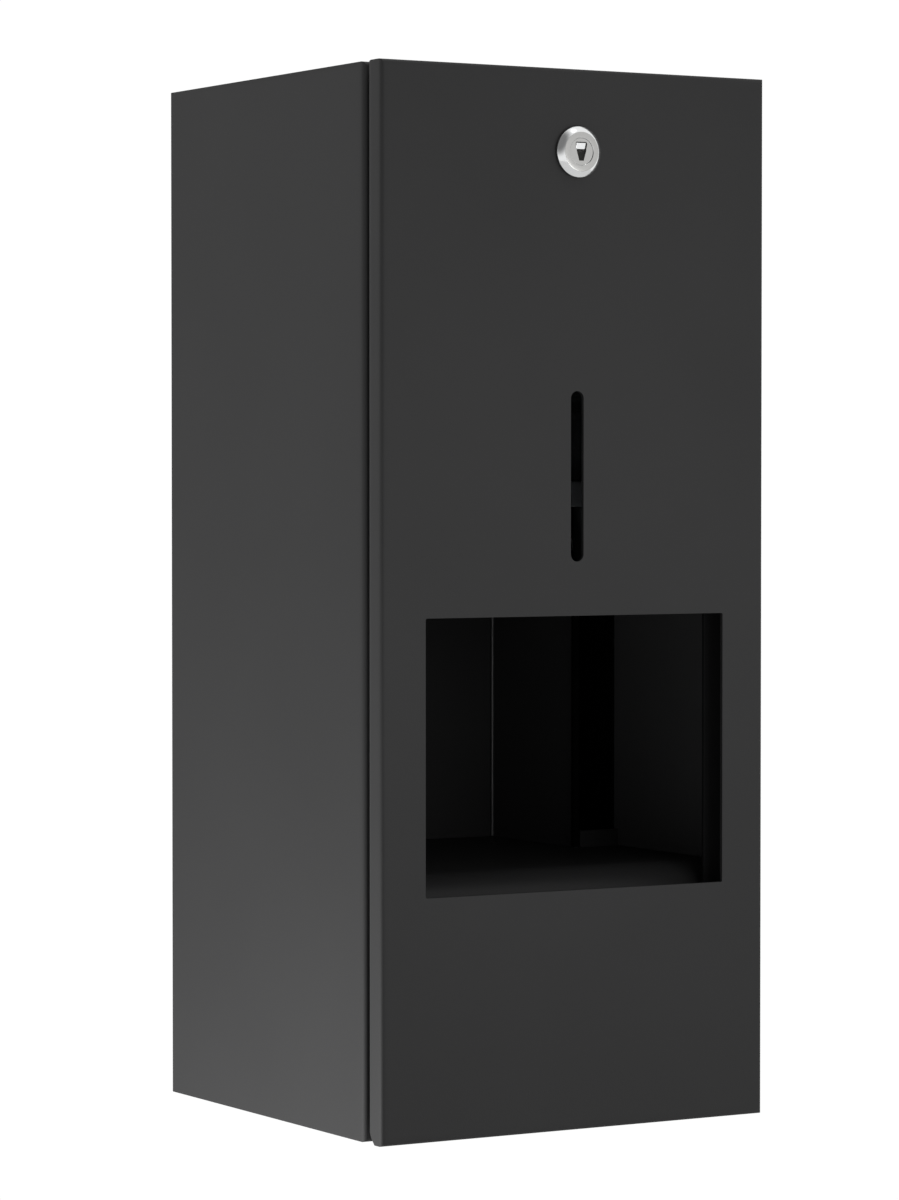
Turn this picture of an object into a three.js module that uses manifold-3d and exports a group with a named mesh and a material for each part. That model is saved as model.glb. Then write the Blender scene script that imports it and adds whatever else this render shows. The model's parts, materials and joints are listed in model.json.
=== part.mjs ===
// Touch-free soap dispenser in a folded steel wall box, in millimetres, +Z up.
// The origin is the middle of the back face, on the wall. +Y runs into the wall, so the door faces -Y.

import * as THREE from 'three';
import { mergeVertices } from 'three/addons/utils/BufferGeometryUtils.js';
import Module from 'manifold-3d';

const wasm = await Module();
wasm.setup();

// Overall size of the closed box
const WIDTH = 140;
const HEIGHT = 330;
const DEPTH = 140;

// Sheet metal and gaps
const SHEET = 1.2;
const PANEL_SHEET = 1.5;
const SEAT_GAP = 0.3;
const RUNNING_GAP = 0.06;
const SHELL_BEND = 2;
const DOOR_BEND = 1.4;
const DOOR_DEPTH = 8.5;
const SEAM = 2;
const FRAME_LIP = 15.5;

// Door openings
const WINDOW_WIDTH = 109;
const WINDOW_HEIGHT = 85.5;
const WINDOW_SILL = 75;
const SLOT_WIDTH = 4.7;
const SLOT_LENGTH = 53;
const SLOT_BOTTOM = 177.3;
const HINGE_FLANGE_DEPTH = 5;
const HINGE_FLANGE_WIDTH = 96;
const CORNER_RELIEF = 4;

// Bottom hinge
const HINGE_BACK = 4.8;
const HINGE_RISE = 4.6;
const PIN_RADIUS = 1.2;
const EAR_RADIUS = 3;
const EAR_THICKNESS = 2;
const EAR_INSET = 8;
const FOOT_WIDTH = 12;
const FOOT_HEIGHT = 12;
const FOOT_THICKNESS = 1;
const BLOCK_WIDTH = 5.5;
const BLOCK_SIZE = 6.2;
const PIN_TAIL = 1.5;

// Cam lock
const LOCK_DROP = 25.7;
const LOCK_HEAD_RADIUS = 8;
const LOCK_FACE_RADIUS = 6;
const LOCK_PROUD = 2.5;
const LOCK_RIM = 1;
const LOCK_BODY_RADIUS = 5.5;
const PLUG_RADIUS = 4.2;
const KEYWAY_WIDTH = 1.4;
const KEYWAY_LENGTH = 5;
const KEYWAY_DEPTH = 6;
const CAM_REACH = 20;
const CAM_WIDTH = 10;
const CAM_SHEET = 1.4;
const CAM_CLEARANCE = 0.7;
const TAIL_SIZE = 4;
const CAM_SCREW_RADIUS = 3.2;
const CAM_SCREW_HEAD = 1.6;
const CAM_SCREW_SHANK = 1;
const LOCK_NUT_WALL = 4;
const LOCK_NUT_HEIGHT = 3;

// Inner chassis, a U of sheet that carries shelf, floor and tank
const CHASSIS_INSIDE = 104;
const CHASSIS_DEPTH = 54;
const CHASSIS_HEIGHT = 300;
const STUD_RADIUS = 2;
const STUD_LENGTH = 6;
const STUD_X = 44;
const STUD_Z = 118;
const NUT_RADIUS = 4;
const NUT_HEIGHT = 3;
const WALL_HOLE_RADIUS = 2.6;
const KEYHOLE_RADIUS = 5;
const KEYHOLE_RISE = 9;
const WALL_HOLE_X = 38;
const WALL_HOLE_Z = 138;

// Hand recess
const FLOOR_Z = 80;
const LIP_RADIUS = 14;
const APRON_DROP = 12;
const KERB_HEIGHT = 5.5;
const SHELF_Z = 165;
const SHELF_FRONT = 118;
const SHELF_TURN_UP = 8;
const SIDE_TURN_UP = 9;

// Tank and the moulded seat under it
const SEAT_RISE = 28;
const SEAT_PLATE = 3;
const SEAT_RIM = 5;
const SEAT_RIM_WALL = 2.4;
const LEG_RADIUS = 3.5;
const TANK_WIDTH = 96;
const TANK_DEPTH = 100;
const TANK_HEIGHT = 93;
const TANK_WALL = 2;
const TANK_CORNER = 9;
const TANK_BACK = 12;
const NECK_RADIUS = 20;
const NECK_WALL = 2.5;
const NECK_HEIGHT = 11;
const CAP_WALL = 2;
const CAP_GRIP = 3;
const SPOUT_RADIUS = 5;
const SPOUT_BORE = 3;
const SPOUT_LENGTH = 10;
const SPOUT_CLEARANCE = 1.5;
const SOCKET_WALL = 3.6;
const SOCKET_RELIEF = 1.8;
const SOCKET_SUMP = 4;
const SOCKET_DRAIN = 2;
const SEAL_HEIGHT = 2.2;
const BEARING_WALL = 3;
const BEARING_DROP = 4;

// Pump
const PUMP_Y = -62;
const SIDE_CLEARANCE = 3;
const TRACK_RADIUS = 17;
const TUBE_RADIUS = 2.5;
const TUBE_BORE = 1.6;
const TUBE_Z = 7;
const PUMP_FLOOR = 1.5;
const PUMP_WALL = 2.5;
const PUMP_COVER = 1.4;
const CHAMBER_SLACK = 0.2;
const PUMP_HEIGHT = 10.5;
const ROTOR_RADIUS = 12.5;
const ROTOR_HUB = 4.5;
const ROTOR_DISC = 1.2;
const ROLLER_COUNT = 3;
const ROLLER_RADIUS = 4.2;
const ROLLER_PIN = 1.3;
const SHAFT_RADIUS = 2;
const GEAR_MODULE = 1.25;
const GEAR_TEETH = 48;
const PINION_TEETH = 12;
const GEAR_WIDTH = 4;
const GEAR_LIFT = 3;
const GEAR_BOSS = 2;
const GEAR_CENTRE_SLACK = 0.25;
const TOOTH_BACKLASH = 0.3;
const MOTOR_RADIUS = 12;
const MOTOR_HEIGHT = 11;
const MOTOR_SHAFT = 1;
const MOTOR_BOSS_RADIUS = 3;
const MOTOR_BOSS_RISE = 0.8;
const MOTOR_BORE_DEPTH = 5;
const BARB_RADIUS = 1.4;
const BARB_LENGTH = 6;
const BARB_BORE = 0.8;

// Nozzle and hand sensor in the recess ceiling
const NOZZLE_Y = -92;
const NOZZLE_RADIUS = 5;
const NOZZLE_FLANGE = 8;
const NOZZLE_TIP = 3.5;
const NOZZLE_DROP = 5.5;
const NOZZLE_BORE = 1.6;
const NOZZLE_FLANGE_DROP = 2.4;
const NOZZLE_HEAD = 3;
const NOZZLE_NUT_RADIUS = 8.5;
const NOZZLE_NUT_HEIGHT = 2.4;
const SENSOR_Y = -108;
const SENSOR_WIDTH = 21;
const SENSOR_LENGTH = 8;
const SENSOR_PITCH = 10;
const DIODE_RADIUS = 1.5;
const DIODE_HEIGHT = 3;
const SENSOR_RISE = 1.6;
const SENSOR_DROP = 0.8;
const SENSOR_BOARD_MARGIN = 3;

// Control board on the web of the chassis
const BOARD_SHEET = 1.6;
const BOARD_HEIGHT = 22;
const BOARD_LIFT = 2;
const BOARD_STANDOFF = 4;
const BOARD_LEFT = 10;
const BOARD_RIGHT = -4;
const CONNECTOR_LENGTH = 10;
const CONNECTOR_DEPTH = 7.5;
const CONNECTOR_HEIGHT = 8;

// Power
const CELL_RADIUS = 13;
const CELL_LENGTH = 50;
const CELL_NUB = 3.2;
const CELL_NUB_LENGTH = 1.5;
const CELL_SLACK = 0.4;
const CELL_PLAY = 1;
const CELL_PITCH = 29.6;
const BOX_WALL = 2;
const SPRING_HEIGHT = 3.6;
const SPRING_FOOT = 4.5;
const SPRING_TIP = 3;
const COVER_SHEET = 2.4;
const GRIP_HEIGHT = 3;
const GRIP_PITCH = 3;
const GRIP_WIDTH = 1.6;
const GRIP_LENGTH = 24;
const SWITCH_WIDTH = 13;
const SWITCH_HEIGHT = 19;
const SWITCH_BODY_DEPTH = 14;
const SWITCH_WALL = 1.2;
const SWITCH_BEZEL = 1.5;
const SWITCH_MARGIN = 2.5;
const SWITCH_SETBACK = 18;
const ROCKER_TILT = 10;
const CABLE_RADIUS = 1.5;
const CABLE_Y = -10;
const CABLE_EXIT = 14;
const CABLE_ENTRY = 12;
const GROMMET_RADIUS = 4.2;

// Worked-out positions
const FRONT = -DEPTH;
const SHELL_FRONT = FRONT + DOOR_DEPTH + SEAM;
const BASE = -HEIGHT / 2;
const TOP = HEIGHT / 2;
const INNER_X = WIDTH / 2 - SHEET;
const INNER_Z = HEIGHT / 2 - SHEET;
const WINDOW_LOW = BASE + WINDOW_SILL;
const LOCK_Z = TOP - LOCK_DROP;
const HINGE_Y = FRONT + HINGE_BACK;
const HINGE_Z = BASE + HINGE_RISE;
const CHASSIS_BACK = -PANEL_SHEET - SEAT_GAP;
const WEB_FRONT = CHASSIS_BACK - SHEET;
const PLATE_FRONT = CHASSIS_BACK - CHASSIS_DEPTH;
const PLATE_OUT = CHASSIS_INSIDE / 2 + SHEET;
const TRAY_TOP = BASE + FLOOR_Z;
const SHELF_TOP = BASE + SHELF_Z + SHEET;
const PUMP_BASE = SHELF_TOP + SEAT_GAP;
const TANK_BASE = SHELF_TOP + SEAT_RISE + SEAT_PLATE + SEAT_GAP;
const TANK_MID_Y = -TANK_BACK - TANK_DEPTH / 2;
const GEAR_REACH = GEAR_MODULE * (GEAR_TEETH / 2 + 1);
const PUMP_X = Math.min(TRACK_RADIUS, CHASSIS_INSIDE / 2 - GEAR_REACH - SIDE_CLEARANCE);
const NOZZLE_X = PUMP_X - TRACK_RADIUS;
const SPOUT_X = PUMP_X + TRACK_RADIUS;
const SOCKET_RADIUS = SPOUT_RADIUS + SOCKET_WALL;
const SPOUT_REACH = GEAR_REACH + SOCKET_RADIUS + SPOUT_CLEARANCE;
const SPOUT_Y = PUMP_Y - Math.sqrt(SPOUT_REACH ** 2 - TRACK_RADIUS ** 2);
const CAM_FRONT = SHELL_FRONT + SHEET + CAM_CLEARANCE;
const CELL_BORE = CELL_RADIUS + CELL_SLACK;
const BOX_SIZE = CELL_PITCH + 2 * (CELL_BORE + BOX_WALL);
const BOX_BACK = WEB_FRONT - SEAT_GAP;
const BOX_FRONT = BOX_BACK - BOX_WALL - SPRING_HEIGHT - CELL_LENGTH - 2 * SEAT_GAP - CELL_PLAY;
const BOX_BASE = BASE + SHEET + 2 * SEAT_GAP;
const BOX_MID_Z = BOX_BASE + BOX_SIZE / 2;
const CHAMBER_RADIUS = TRACK_RADIUS + TUBE_RADIUS + CHAMBER_SLACK;
const GEAR_Z = PUMP_HEIGHT + GEAR_LIFT;
const CABLE_LOW = BOX_MID_Z + CABLE_EXIT;
const CABLE_HIGH = PUMP_BASE + CABLE_ENTRY;
const ROUND = 24;

function finish(color, roughness, metalness) {
  return () => new THREE.MeshStandardMaterial({ color, roughness, metalness });
}

const blackPaint = finish(0x2b2b2c, 0.72, 0.1);
const innerPaint = finish(0x1b1b1c, 0.8, 0.1);
const chrome = finish(0xc9cbcd, 0.18, 1);
const steel = finish(0x9a9da0, 0.4, 1);
const brass = finish(0xb08d4a, 0.35, 1);
const blackPlastic = finish(0x1c1c1d, 0.55, 0);
const greyPlastic = finish(0x5b5e60, 0.5, 0);
const smokedPlastic = finish(0x2a2c2e, 0.25, 0);
const whitePlastic = finish(0xd8d8d4, 0.45, 0);
const rubber = finish(0x17181a, 0.9, 0);
const silicone = finish(0xc8c9c4, 0.5, 0);
const boardGreen = finish(0x1f4a35, 0.5, 0);
const cellWrap = finish(0x6b6f73, 0.4, 0.2);

function part(name, geometry, material) {
  const mesh = new THREE.Mesh(geometry, material());
  mesh.name = name;
  return mesh;
}

function assembly(position, ...meshes) {
  const group = new THREE.Group();
  group.position.set(...position);
  group.add(...meshes);
  return group;
}

// Solids: each maker returns a Manifold, and geometryOf turns the finished one into a BufferGeometry.
function solid(geometry) {
  const bare = geometry.clone();
  bare.deleteAttribute('normal');
  bare.deleteAttribute('uv');
  const merged = mergeVertices(bare);
  return new wasm.Manifold(new wasm.Mesh({
    numProp: 3,
    vertProperties: new Float32Array(merged.attributes.position.array),
    triVerts: Uint32Array.from(merged.index.array),
  }));
}

function geometryOf(manifold) {
  const mesh = manifold.getMesh();
  const geometry = new THREE.BufferGeometry();
  geometry.setAttribute('position', new THREE.BufferAttribute(mesh.vertProperties, 3));
  geometry.setIndex(new THREE.BufferAttribute(mesh.triVerts, 1));
  geometry.computeVertexNormals();
  return geometry;
}

function join(first, ...others) {
  return others.reduce((whole, other) => whole.add(other), first);
}

function cut(whole, ...tools) {
  return tools.reduce((rest, tool) => rest.subtract(tool), whole);
}

function block([x0, x1], [y0, y1], [z0, z1]) {
  const box = new THREE.BoxGeometry(x1 - x0, y1 - y0, z1 - z0);
  box.translate((x0 + x1) / 2, (y0 + y1) / 2, (z0 + z1) / 2);
  return solid(box);
}

// Turns an extrusion so that its outline lies square to the axis: (y, z) on x, (x, z) on y, (x, y) on z.
function along(axis, geometry, from, to) {
  if (axis === 'x') {
    geometry.applyMatrix4(new THREE.Matrix4().makeBasis(
      new THREE.Vector3(0, 1, 0), new THREE.Vector3(0, 0, 1), new THREE.Vector3(1, 0, 0)));
    return geometry.translate(from, 0, 0);
  }
  if (axis === 'y') {
    return geometry.rotateX(Math.PI / 2).translate(0, to, 0);
  }
  return geometry.translate(0, 0, from);
}

// Round outlines get the given number of sides for a full turn.
function prism(axis, outline, [from, to], sides = ROUND) {
  const settings = { depth: to - from, bevelEnabled: false, curveSegments: sides / 2 };
  return solid(along(axis, new THREE.ExtrudeGeometry(outline, settings), from, to));
}

function disc(radius, [u, v] = [0, 0]) {
  return new THREE.Shape().absarc(u, v, radius, 0, 2 * Math.PI);
}

function rod(axis, radius, span, centre = [0, 0], sides = ROUND) {
  return prism(axis, disc(radius, centre), span, sides);
}

function polygon(points) {
  return new THREE.Shape(points.map(([u, v]) => new THREE.Vector2(u, v)));
}

function hexagon(radius) {
  const corner = (i) => [radius * Math.cos(i * Math.PI / 3), radius * Math.sin(i * Math.PI / 3)];
  return polygon([0, 1, 2, 3, 4, 5].map(corner));
}

function roundedRectangle(width, height, radius) {
  const u = width / 2 - radius;
  const v = height / 2 - radius;
  const shape = new THREE.Shape();
  shape.absarc(u, v, radius, 0, Math.PI / 2);
  shape.absarc(-u, v, radius, Math.PI / 2, Math.PI);
  shape.absarc(-u, -v, radius, Math.PI, 1.5 * Math.PI);
  shape.absarc(u, -v, radius, 1.5 * Math.PI, 2 * Math.PI);
  return shape;
}

// A lathe piece about +Z from [radius, height] pairs that close on themselves or end on the axis.
function turned(profile, sides = ROUND) {
  return new THREE.LatheGeometry(profile.map(([r, z]) => new THREE.Vector2(r, z)), sides)
    .rotateX(Math.PI / 2);
}

// The front part of a folded box: full outline, bent front edges, from y front back to y rear.
function bentFront(bend, front, rear) {
  const spare = 2 * bend;
  const geometry = new THREE.ExtrudeGeometry(roundedRectangle(WIDTH, HEIGHT, bend + 0.4), {
    depth: rear - front,
    bevelEnabled: true,
    bevelThickness: bend,
    bevelSize: bend,
    bevelOffset: -bend,
    bevelSegments: 3,
    curveSegments: 3,
  });
  const whole = solid(along('y', geometry, front + bend, rear + bend));
  return cut(whole, block([-WIDTH, WIDTH], [rear, rear + spare], [-HEIGHT, HEIGHT]));
}

// Housing: shell, back panel and chassis
function housingShell() {
  const lipX = WIDTH / 2 - FRAME_LIP;
  const lipZ = HEIGHT / 2 - FRAME_LIP;
  const hollow = block([-INNER_X, INNER_X], [SHELL_FRONT + SHEET, 1], [-INNER_Z, INNER_Z]);
  const mouth = block([-lipX, lipX], [SHELL_FRONT - 1, SHELL_FRONT + 2], [-lipZ, lipZ]);
  return part('housing_shell', geometryOf(cut(bentFront(SHELL_BEND, SHELL_FRONT, 0), hollow, mouth)),
    blackPaint);
}

function corners(x, z) {
  return [[-x, z], [x, z], [-x, -z], [x, -z]];
}

// Keyholes hang the box on its upper screws, and round holes take the lower ones.
function wallHoles(radius, span) {
  return corners(WALL_HOLE_X, WALL_HOLE_Z).map(([x, z]) => {
    const hole = rod('y', radius, span, [x, z], 16);
    const entry = rod('y', KEYHOLE_RADIUS, span, [x, z - KEYHOLE_RISE], 16);
    const neck = block([x - radius, x + radius], span, [z - KEYHOLE_RISE, z]);
    return z > 0 ? join(hole, entry, neck) : hole;
  });
}

function backPanel() {
  const x = INNER_X - SEAT_GAP;
  const z = INNER_Z - SEAT_GAP;
  const plate = block([-x, x], [-PANEL_SHEET, 0], [-z, z]);
  const studs = corners(STUD_X, STUD_Z).map((centre) =>
    rod('y', STUD_RADIUS, [-PANEL_SHEET - STUD_LENGTH, -PANEL_SHEET / 2], centre, 12));
  const pierced = cut(plate, ...wallHoles(WALL_HOLE_RADIUS, [-PANEL_SHEET - 1, 1]));
  return part('back_panel', geometryOf(join(pierced, ...studs)), innerPaint);
}

function chassisBracket() {
  const half = CHASSIS_HEIGHT / 2;
  const outer = block([-PLATE_OUT, PLATE_OUT], [PLATE_FRONT, CHASSIS_BACK], [-half, half]);
  const inside = CHASSIS_INSIDE / 2;
  const hollow = block([-inside, inside], [PLATE_FRONT - 1, WEB_FRONT], [-half - 1, half + 1]);
  const span = [WEB_FRONT - 1, CHASSIS_BACK + 1];
  const studHoles = corners(STUD_X, STUD_Z).map((centre) =>
    rod('y', STUD_RADIUS + SEAT_GAP, span, centre, 12));
  const cableHoles = [CABLE_LOW, CABLE_HIGH].map((z) =>
    rod('x', GROMMET_RADIUS - 1, [-PLATE_OUT - 1, -inside + 1], [CABLE_Y, z], 12));
  const tools = [hollow, ...studHoles, ...cableHoles, ...wallHoles(WALL_HOLE_RADIUS + 1, span)];
  return part('chassis_bracket', geometryOf(cut(outer, ...tools)), innerPaint);
}

function chassisNuts() {
  const nut = cut(prism('y', hexagon(NUT_RADIUS), [-NUT_HEIGHT, 0]),
    rod('y', STUD_RADIUS + SEAT_GAP, [-NUT_HEIGHT - 1, 1], [0, 0], 12));
  return corners(STUD_X, STUD_Z).map(([x, z], i) => {
    const mesh = part(`chassis_nut_${i + 1}`, geometryOf(nut), steel);
    mesh.position.set(x, WEB_FRONT - SEAT_GAP, z);
    return mesh;
  });
}

// A sheet shelf that is wide in front of the chassis and narrow between its plates.
function shelfSheet(front, top) {
  const wide = INNER_X - SEAT_GAP;
  const narrow = CHASSIS_INSIDE / 2 - SEAT_GAP;
  const step = PLATE_FRONT - SEAT_GAP;
  return join(
    block([-wide, wide], [front, step], [top - SHEET, top]),
    block([-narrow, narrow], [step - 1, WEB_FRONT - SEAT_GAP], [top - SHEET, top]));
}

function sideTurnUps(front, top, height) {
  const wide = INNER_X - SEAT_GAP;
  const step = PLATE_FRONT - SEAT_GAP;
  return [-1, 1].map((side) => {
    const edges = [side * wide, side * (wide - SHEET)].sort((a, b) => a - b);
    return block(edges, [front, step], [top - SHEET / 2, top + height]);
  });
}

// The recess floor: a sheet whose front edge rolls down in a wide bend behind the door.
function dripTray() {
  const wide = INNER_X - SEAT_GAP;
  const apron = SHELL_FRONT + SHEET + CAM_CLEARANCE;
  const bendY = apron + LIP_RADIUS;
  const bendZ = TRAY_TOP - LIP_RADIUS;
  const bend = new THREE.Shape();
  bend.absarc(bendY, bendZ, LIP_RADIUS, Math.PI / 2, Math.PI);
  bend.lineTo(apron, bendZ - APRON_DROP);
  bend.lineTo(apron + SHEET, bendZ - APRON_DROP);
  bend.absarc(bendY, bendZ, LIP_RADIUS - SHEET, Math.PI, Math.PI / 2, true);
  const lip = prism('x', bend, [-wide, wide], 16);
  const inner = PLATE_OUT + SEAT_GAP;
  const step = PLATE_FRONT - SEAT_GAP;
  const kerbs = [[-wide, -inner], [inner, wide]].map((x) =>
    block(x, [step - SHEET, step], [TRAY_TOP - SHEET / 2, TRAY_TOP + KERB_HEIGHT]));
  return part('drip_tray', geometryOf(join(shelfSheet(bendY, TRAY_TOP), lip, ...kerbs)), innerPaint);
}

function pumpShelf() {
  const sheet = join(shelfSheet(-SHELF_FRONT, SHELF_TOP),
    ...sideTurnUps(-SHELF_FRONT, SHELF_TOP, SIDE_TURN_UP),
    block([-INNER_X + SEAT_GAP, INNER_X - SEAT_GAP], [-SHELF_FRONT, -SHELF_FRONT + SHEET],
      [SHELF_TOP - SHEET / 2, SHELF_TOP + SHELF_TURN_UP]));
  const span = [SHELF_TOP - SHEET - 1, SHELF_TOP + 1];
  const nozzleHole = rod('z', NOZZLE_RADIUS + SEAT_GAP, span, [NOZZLE_X, NOZZLE_Y], 16);
  const x = SENSOR_WIDTH / 2 + SEAT_GAP;
  const y = SENSOR_LENGTH / 2 + SEAT_GAP;
  const sensorHole = block([-x, x], [SENSOR_Y - y, SENSOR_Y + y], span);
  return part('pump_shelf', geometryOf(cut(sheet, nozzleHole, sensorHole)), innerPaint);
}

// Door: a shallow pan with the hand window, the level slot and the lock hole
function levelSlot() {
  const radius = SLOT_WIDTH / 2;
  const low = BASE + SLOT_BOTTOM + radius;
  const high = BASE + SLOT_BOTTOM + SLOT_LENGTH - radius;
  const slot = new THREE.Shape();
  slot.absarc(0, low, radius, Math.PI, 2 * Math.PI);
  slot.absarc(0, high, radius, 0, Math.PI);
  return slot;
}

function doorPanel() {
  const rear = FRONT + DOOR_DEPTH;
  const through = [FRONT - 1, FRONT + SHEET + 1];
  const hollow = block([-INNER_X, INNER_X], [FRONT + SHEET, rear + 1], [-INNER_Z, INNER_Z]);
  const window = block([-WINDOW_WIDTH / 2, WINDOW_WIDTH / 2], through,
    [WINDOW_LOW, WINDOW_LOW + WINDOW_HEIGHT]);
  const slot = prism('y', levelSlot(), through, 8);
  const lockHole = rod('y', LOCK_BODY_RADIUS + SEAT_GAP, through, [0, LOCK_Z]);
  const flangeX = HINGE_FLANGE_WIDTH / 2;
  const shorter = block([-flangeX, flangeX], [FRONT + HINGE_FLANGE_DEPTH, rear + 1],
    [BASE - 1, -INNER_Z + 1]);
  const notches = [[-INNER_X, -flangeX - 1e-3], [flangeX + 1e-3, INNER_X]].map((x) =>
    block(x, [FRONT + SHEET, rear + 1], [BASE - 1, -INNER_Z + 1]));
  const relief = polygon([[rear + 1, BASE - 1], [rear + 1, BASE + CORNER_RELIEF + 1],
    [rear, BASE + CORNER_RELIEF], [rear - CORNER_RELIEF, BASE], [rear - CORNER_RELIEF, BASE - 1]]);
  const reliefs = prism('x', relief, [-WIDTH, WIDTH]);
  const pan = cut(bentFront(DOOR_BEND, FRONT, rear), hollow, window, slot, lockHole, shorter,
    ...notches, reliefs);
  return part('door_panel', geometryOf(pan), blackPaint);
}

// One side of the hinge, drawn on the right and mirrored: [from, to] along X in either case
function sideSpan(side, from, to) {
  return side > 0 ? [from, to] : [-to, -from];
}

function hingeSide(side, word) {
  const earOut = INNER_X - EAR_INSET;
  const earIn = earOut - EAR_THICKNESS;
  const pinHole = [earIn - 1, earOut + 1];
  const foot = block(sideSpan(side, earOut - FOOT_WIDTH, earOut),
    [SHELL_FRONT - SEAT_GAP - FOOT_THICKNESS, SHELL_FRONT - SEAT_GAP],
    [HINGE_Z - EAR_RADIUS, HINGE_Z - EAR_RADIUS + FOOT_HEIGHT]);
  const ear = join(
    rod('x', EAR_RADIUS, sideSpan(side, earIn, earOut), [HINGE_Y, HINGE_Z], 16),
    block(sideSpan(side, earIn, earOut), [HINGE_Y, SHELL_FRONT - SEAT_GAP],
      [HINGE_Z - EAR_RADIUS, HINGE_Z + EAR_RADIUS]));
  const bracket = cut(join(foot, ear),
    rod('x', PIN_RADIUS + RUNNING_GAP, sideSpan(side, ...pinHole), [HINGE_Y, HINGE_Z]));
  const blockIn = INNER_X - SEAT_GAP - BLOCK_WIDTH;
  const half = BLOCK_SIZE / 2;
  const boss = cut(
    block(sideSpan(side, blockIn, INNER_X - SEAT_GAP), [HINGE_Y - half, HINGE_Y + half],
      [HINGE_Z - half, HINGE_Z + half]),
    rod('x', PIN_RADIUS + SEAT_GAP, sideSpan(side, blockIn - 1, INNER_X), [HINGE_Y, HINGE_Z], 16));
  const pinSpan = sideSpan(side, earIn - PIN_TAIL, INNER_X - 2 * SEAT_GAP);
  const pin = rod('x', PIN_RADIUS, pinSpan, [HINGE_Y, HINGE_Z]);
  return [
    part(`hinge_bracket_${word}`, geometryOf(bracket), blackPaint),
    part(`hinge_block_${word}`, geometryOf(boss), steel),
    part(`hinge_pin_${word}`, geometryOf(pin), steel),
  ];
}

// Cam lock, about an axis on Y at x = 0, z = 0 of its own group
function lock() {
  const seat = FRONT - SEAT_GAP;
  const face = FRONT - LOCK_PROUD;
  const barrelEnd = CAM_FRONT - 2 * SEAT_GAP;
  const flat = (profile) => solid(turned(profile, 32).rotateX(Math.PI / 2));
  const barrel = flat([[0, -barrelEnd], [LOCK_BODY_RADIUS, -barrelEnd], [LOCK_BODY_RADIUS, -seat],
    [LOCK_HEAD_RADIUS, -seat], [LOCK_HEAD_RADIUS, -seat + LOCK_RIM - SEAT_GAP],
    [LOCK_FACE_RADIUS, -face], [0, -face]]);
  const bore = rod('y', PLUG_RADIUS + RUNNING_GAP, [face - 1, barrelEnd + 1], [0, 0], 32);
  const nutBack = FRONT + SHEET + SEAT_GAP;
  const nutFront = nutBack + LOCK_NUT_HEIGHT;
  const nut = cut(prism('y', hexagon(LOCK_BODY_RADIUS + LOCK_NUT_WALL), [nutBack, nutFront]),
    rod('y', LOCK_BODY_RADIUS + SEAT_GAP, [nutBack - 1, nutFront + 1]));
  const plugEnd = barrelEnd + SEAT_GAP;
  const camBack = CAM_FRONT + CAM_SHEET;
  const half = TAIL_SIZE / 2;
  const plug = cut(
    join(rod('y', PLUG_RADIUS, [face + 0.2, plugEnd], [0, 0], 32),
      block([-half, half], [plugEnd - 1, camBack + 1], [-half, half])),
    block([-KEYWAY_WIDTH / 2, KEYWAY_WIDTH / 2], [face - 1, face + KEYWAY_DEPTH],
      [-KEYWAY_LENGTH / 2, KEYWAY_LENGTH / 2]),
    rod('y', CAM_SCREW_SHANK + SEAT_GAP, [camBack - 4, camBack + 2], [0, 0], 12));
  const hole = half + SEAT_GAP;
  const tongue = polygon([[0, -CAM_WIDTH / 2], [CAM_REACH - 2, -CAM_WIDTH / 2],
    [CAM_REACH, -CAM_WIDTH / 2 + 2], [CAM_REACH, CAM_WIDTH / 2 - 2],
    [CAM_REACH - 2, CAM_WIDTH / 2], [0, CAM_WIDTH / 2]]);
  const cam = cut(
    join(prism('y', tongue, [CAM_FRONT, camBack]),
      rod('y', CAM_WIDTH / 2, [CAM_FRONT, camBack])),
    block([-hole, hole], [CAM_FRONT - 1, camBack + 1], [-hole, hole]));
  const screwSeat = camBack + 1 + SEAT_GAP;
  const head = rod('y', CAM_SCREW_RADIUS, [screwSeat, screwSeat + CAM_SCREW_HEAD], [0, 0], 16);
  const screw = join(head, rod('y', CAM_SCREW_SHANK, [camBack - 3, screwSeat + 1], [0, 0], 12));
  return assembly([0, 0, LOCK_Z],
    part('lock_barrel', geometryOf(cut(barrel, bore)), chrome),
    part('lock_nut', geometryOf(nut), steel),
    part('lock_plug', geometryOf(plug), steel),
    part('lock_cam', geometryOf(cam), steel),
    part('cam_screw', geometryOf(screw), steel));
}

// Tank: a hollow blow-moulded bottle with a filling neck above and a spout below
function tankBody() {
  const centred = (inset, span) => {
    const outline = roundedRectangle(TANK_WIDTH - 2 * inset, TANK_DEPTH - 2 * inset, TANK_CORNER - inset);
    return prism('z', outline, span, 4);
  };
  const spoutAt = [SPOUT_X, SPOUT_Y - TANK_MID_Y];
  const outside = join(centred(0, [0, TANK_HEIGHT]),
    rod('z', NECK_RADIUS, [TANK_HEIGHT - 1, TANK_HEIGHT + NECK_HEIGHT]),
    rod('z', SPOUT_RADIUS, [-SPOUT_LENGTH, 1], spoutAt, 16));
  const tank = cut(outside, centred(TANK_WALL, [TANK_WALL, TANK_HEIGHT - TANK_WALL]),
    rod('z', NECK_RADIUS - NECK_WALL, [TANK_HEIGHT - TANK_WALL - 1, TANK_HEIGHT + NECK_HEIGHT + 1]),
    rod('z', SPOUT_BORE, [-SPOUT_LENGTH - 1, TANK_WALL + 1], spoutAt, 16));
  return part('tank', geometryOf(tank), smokedPlastic);
}

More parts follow.
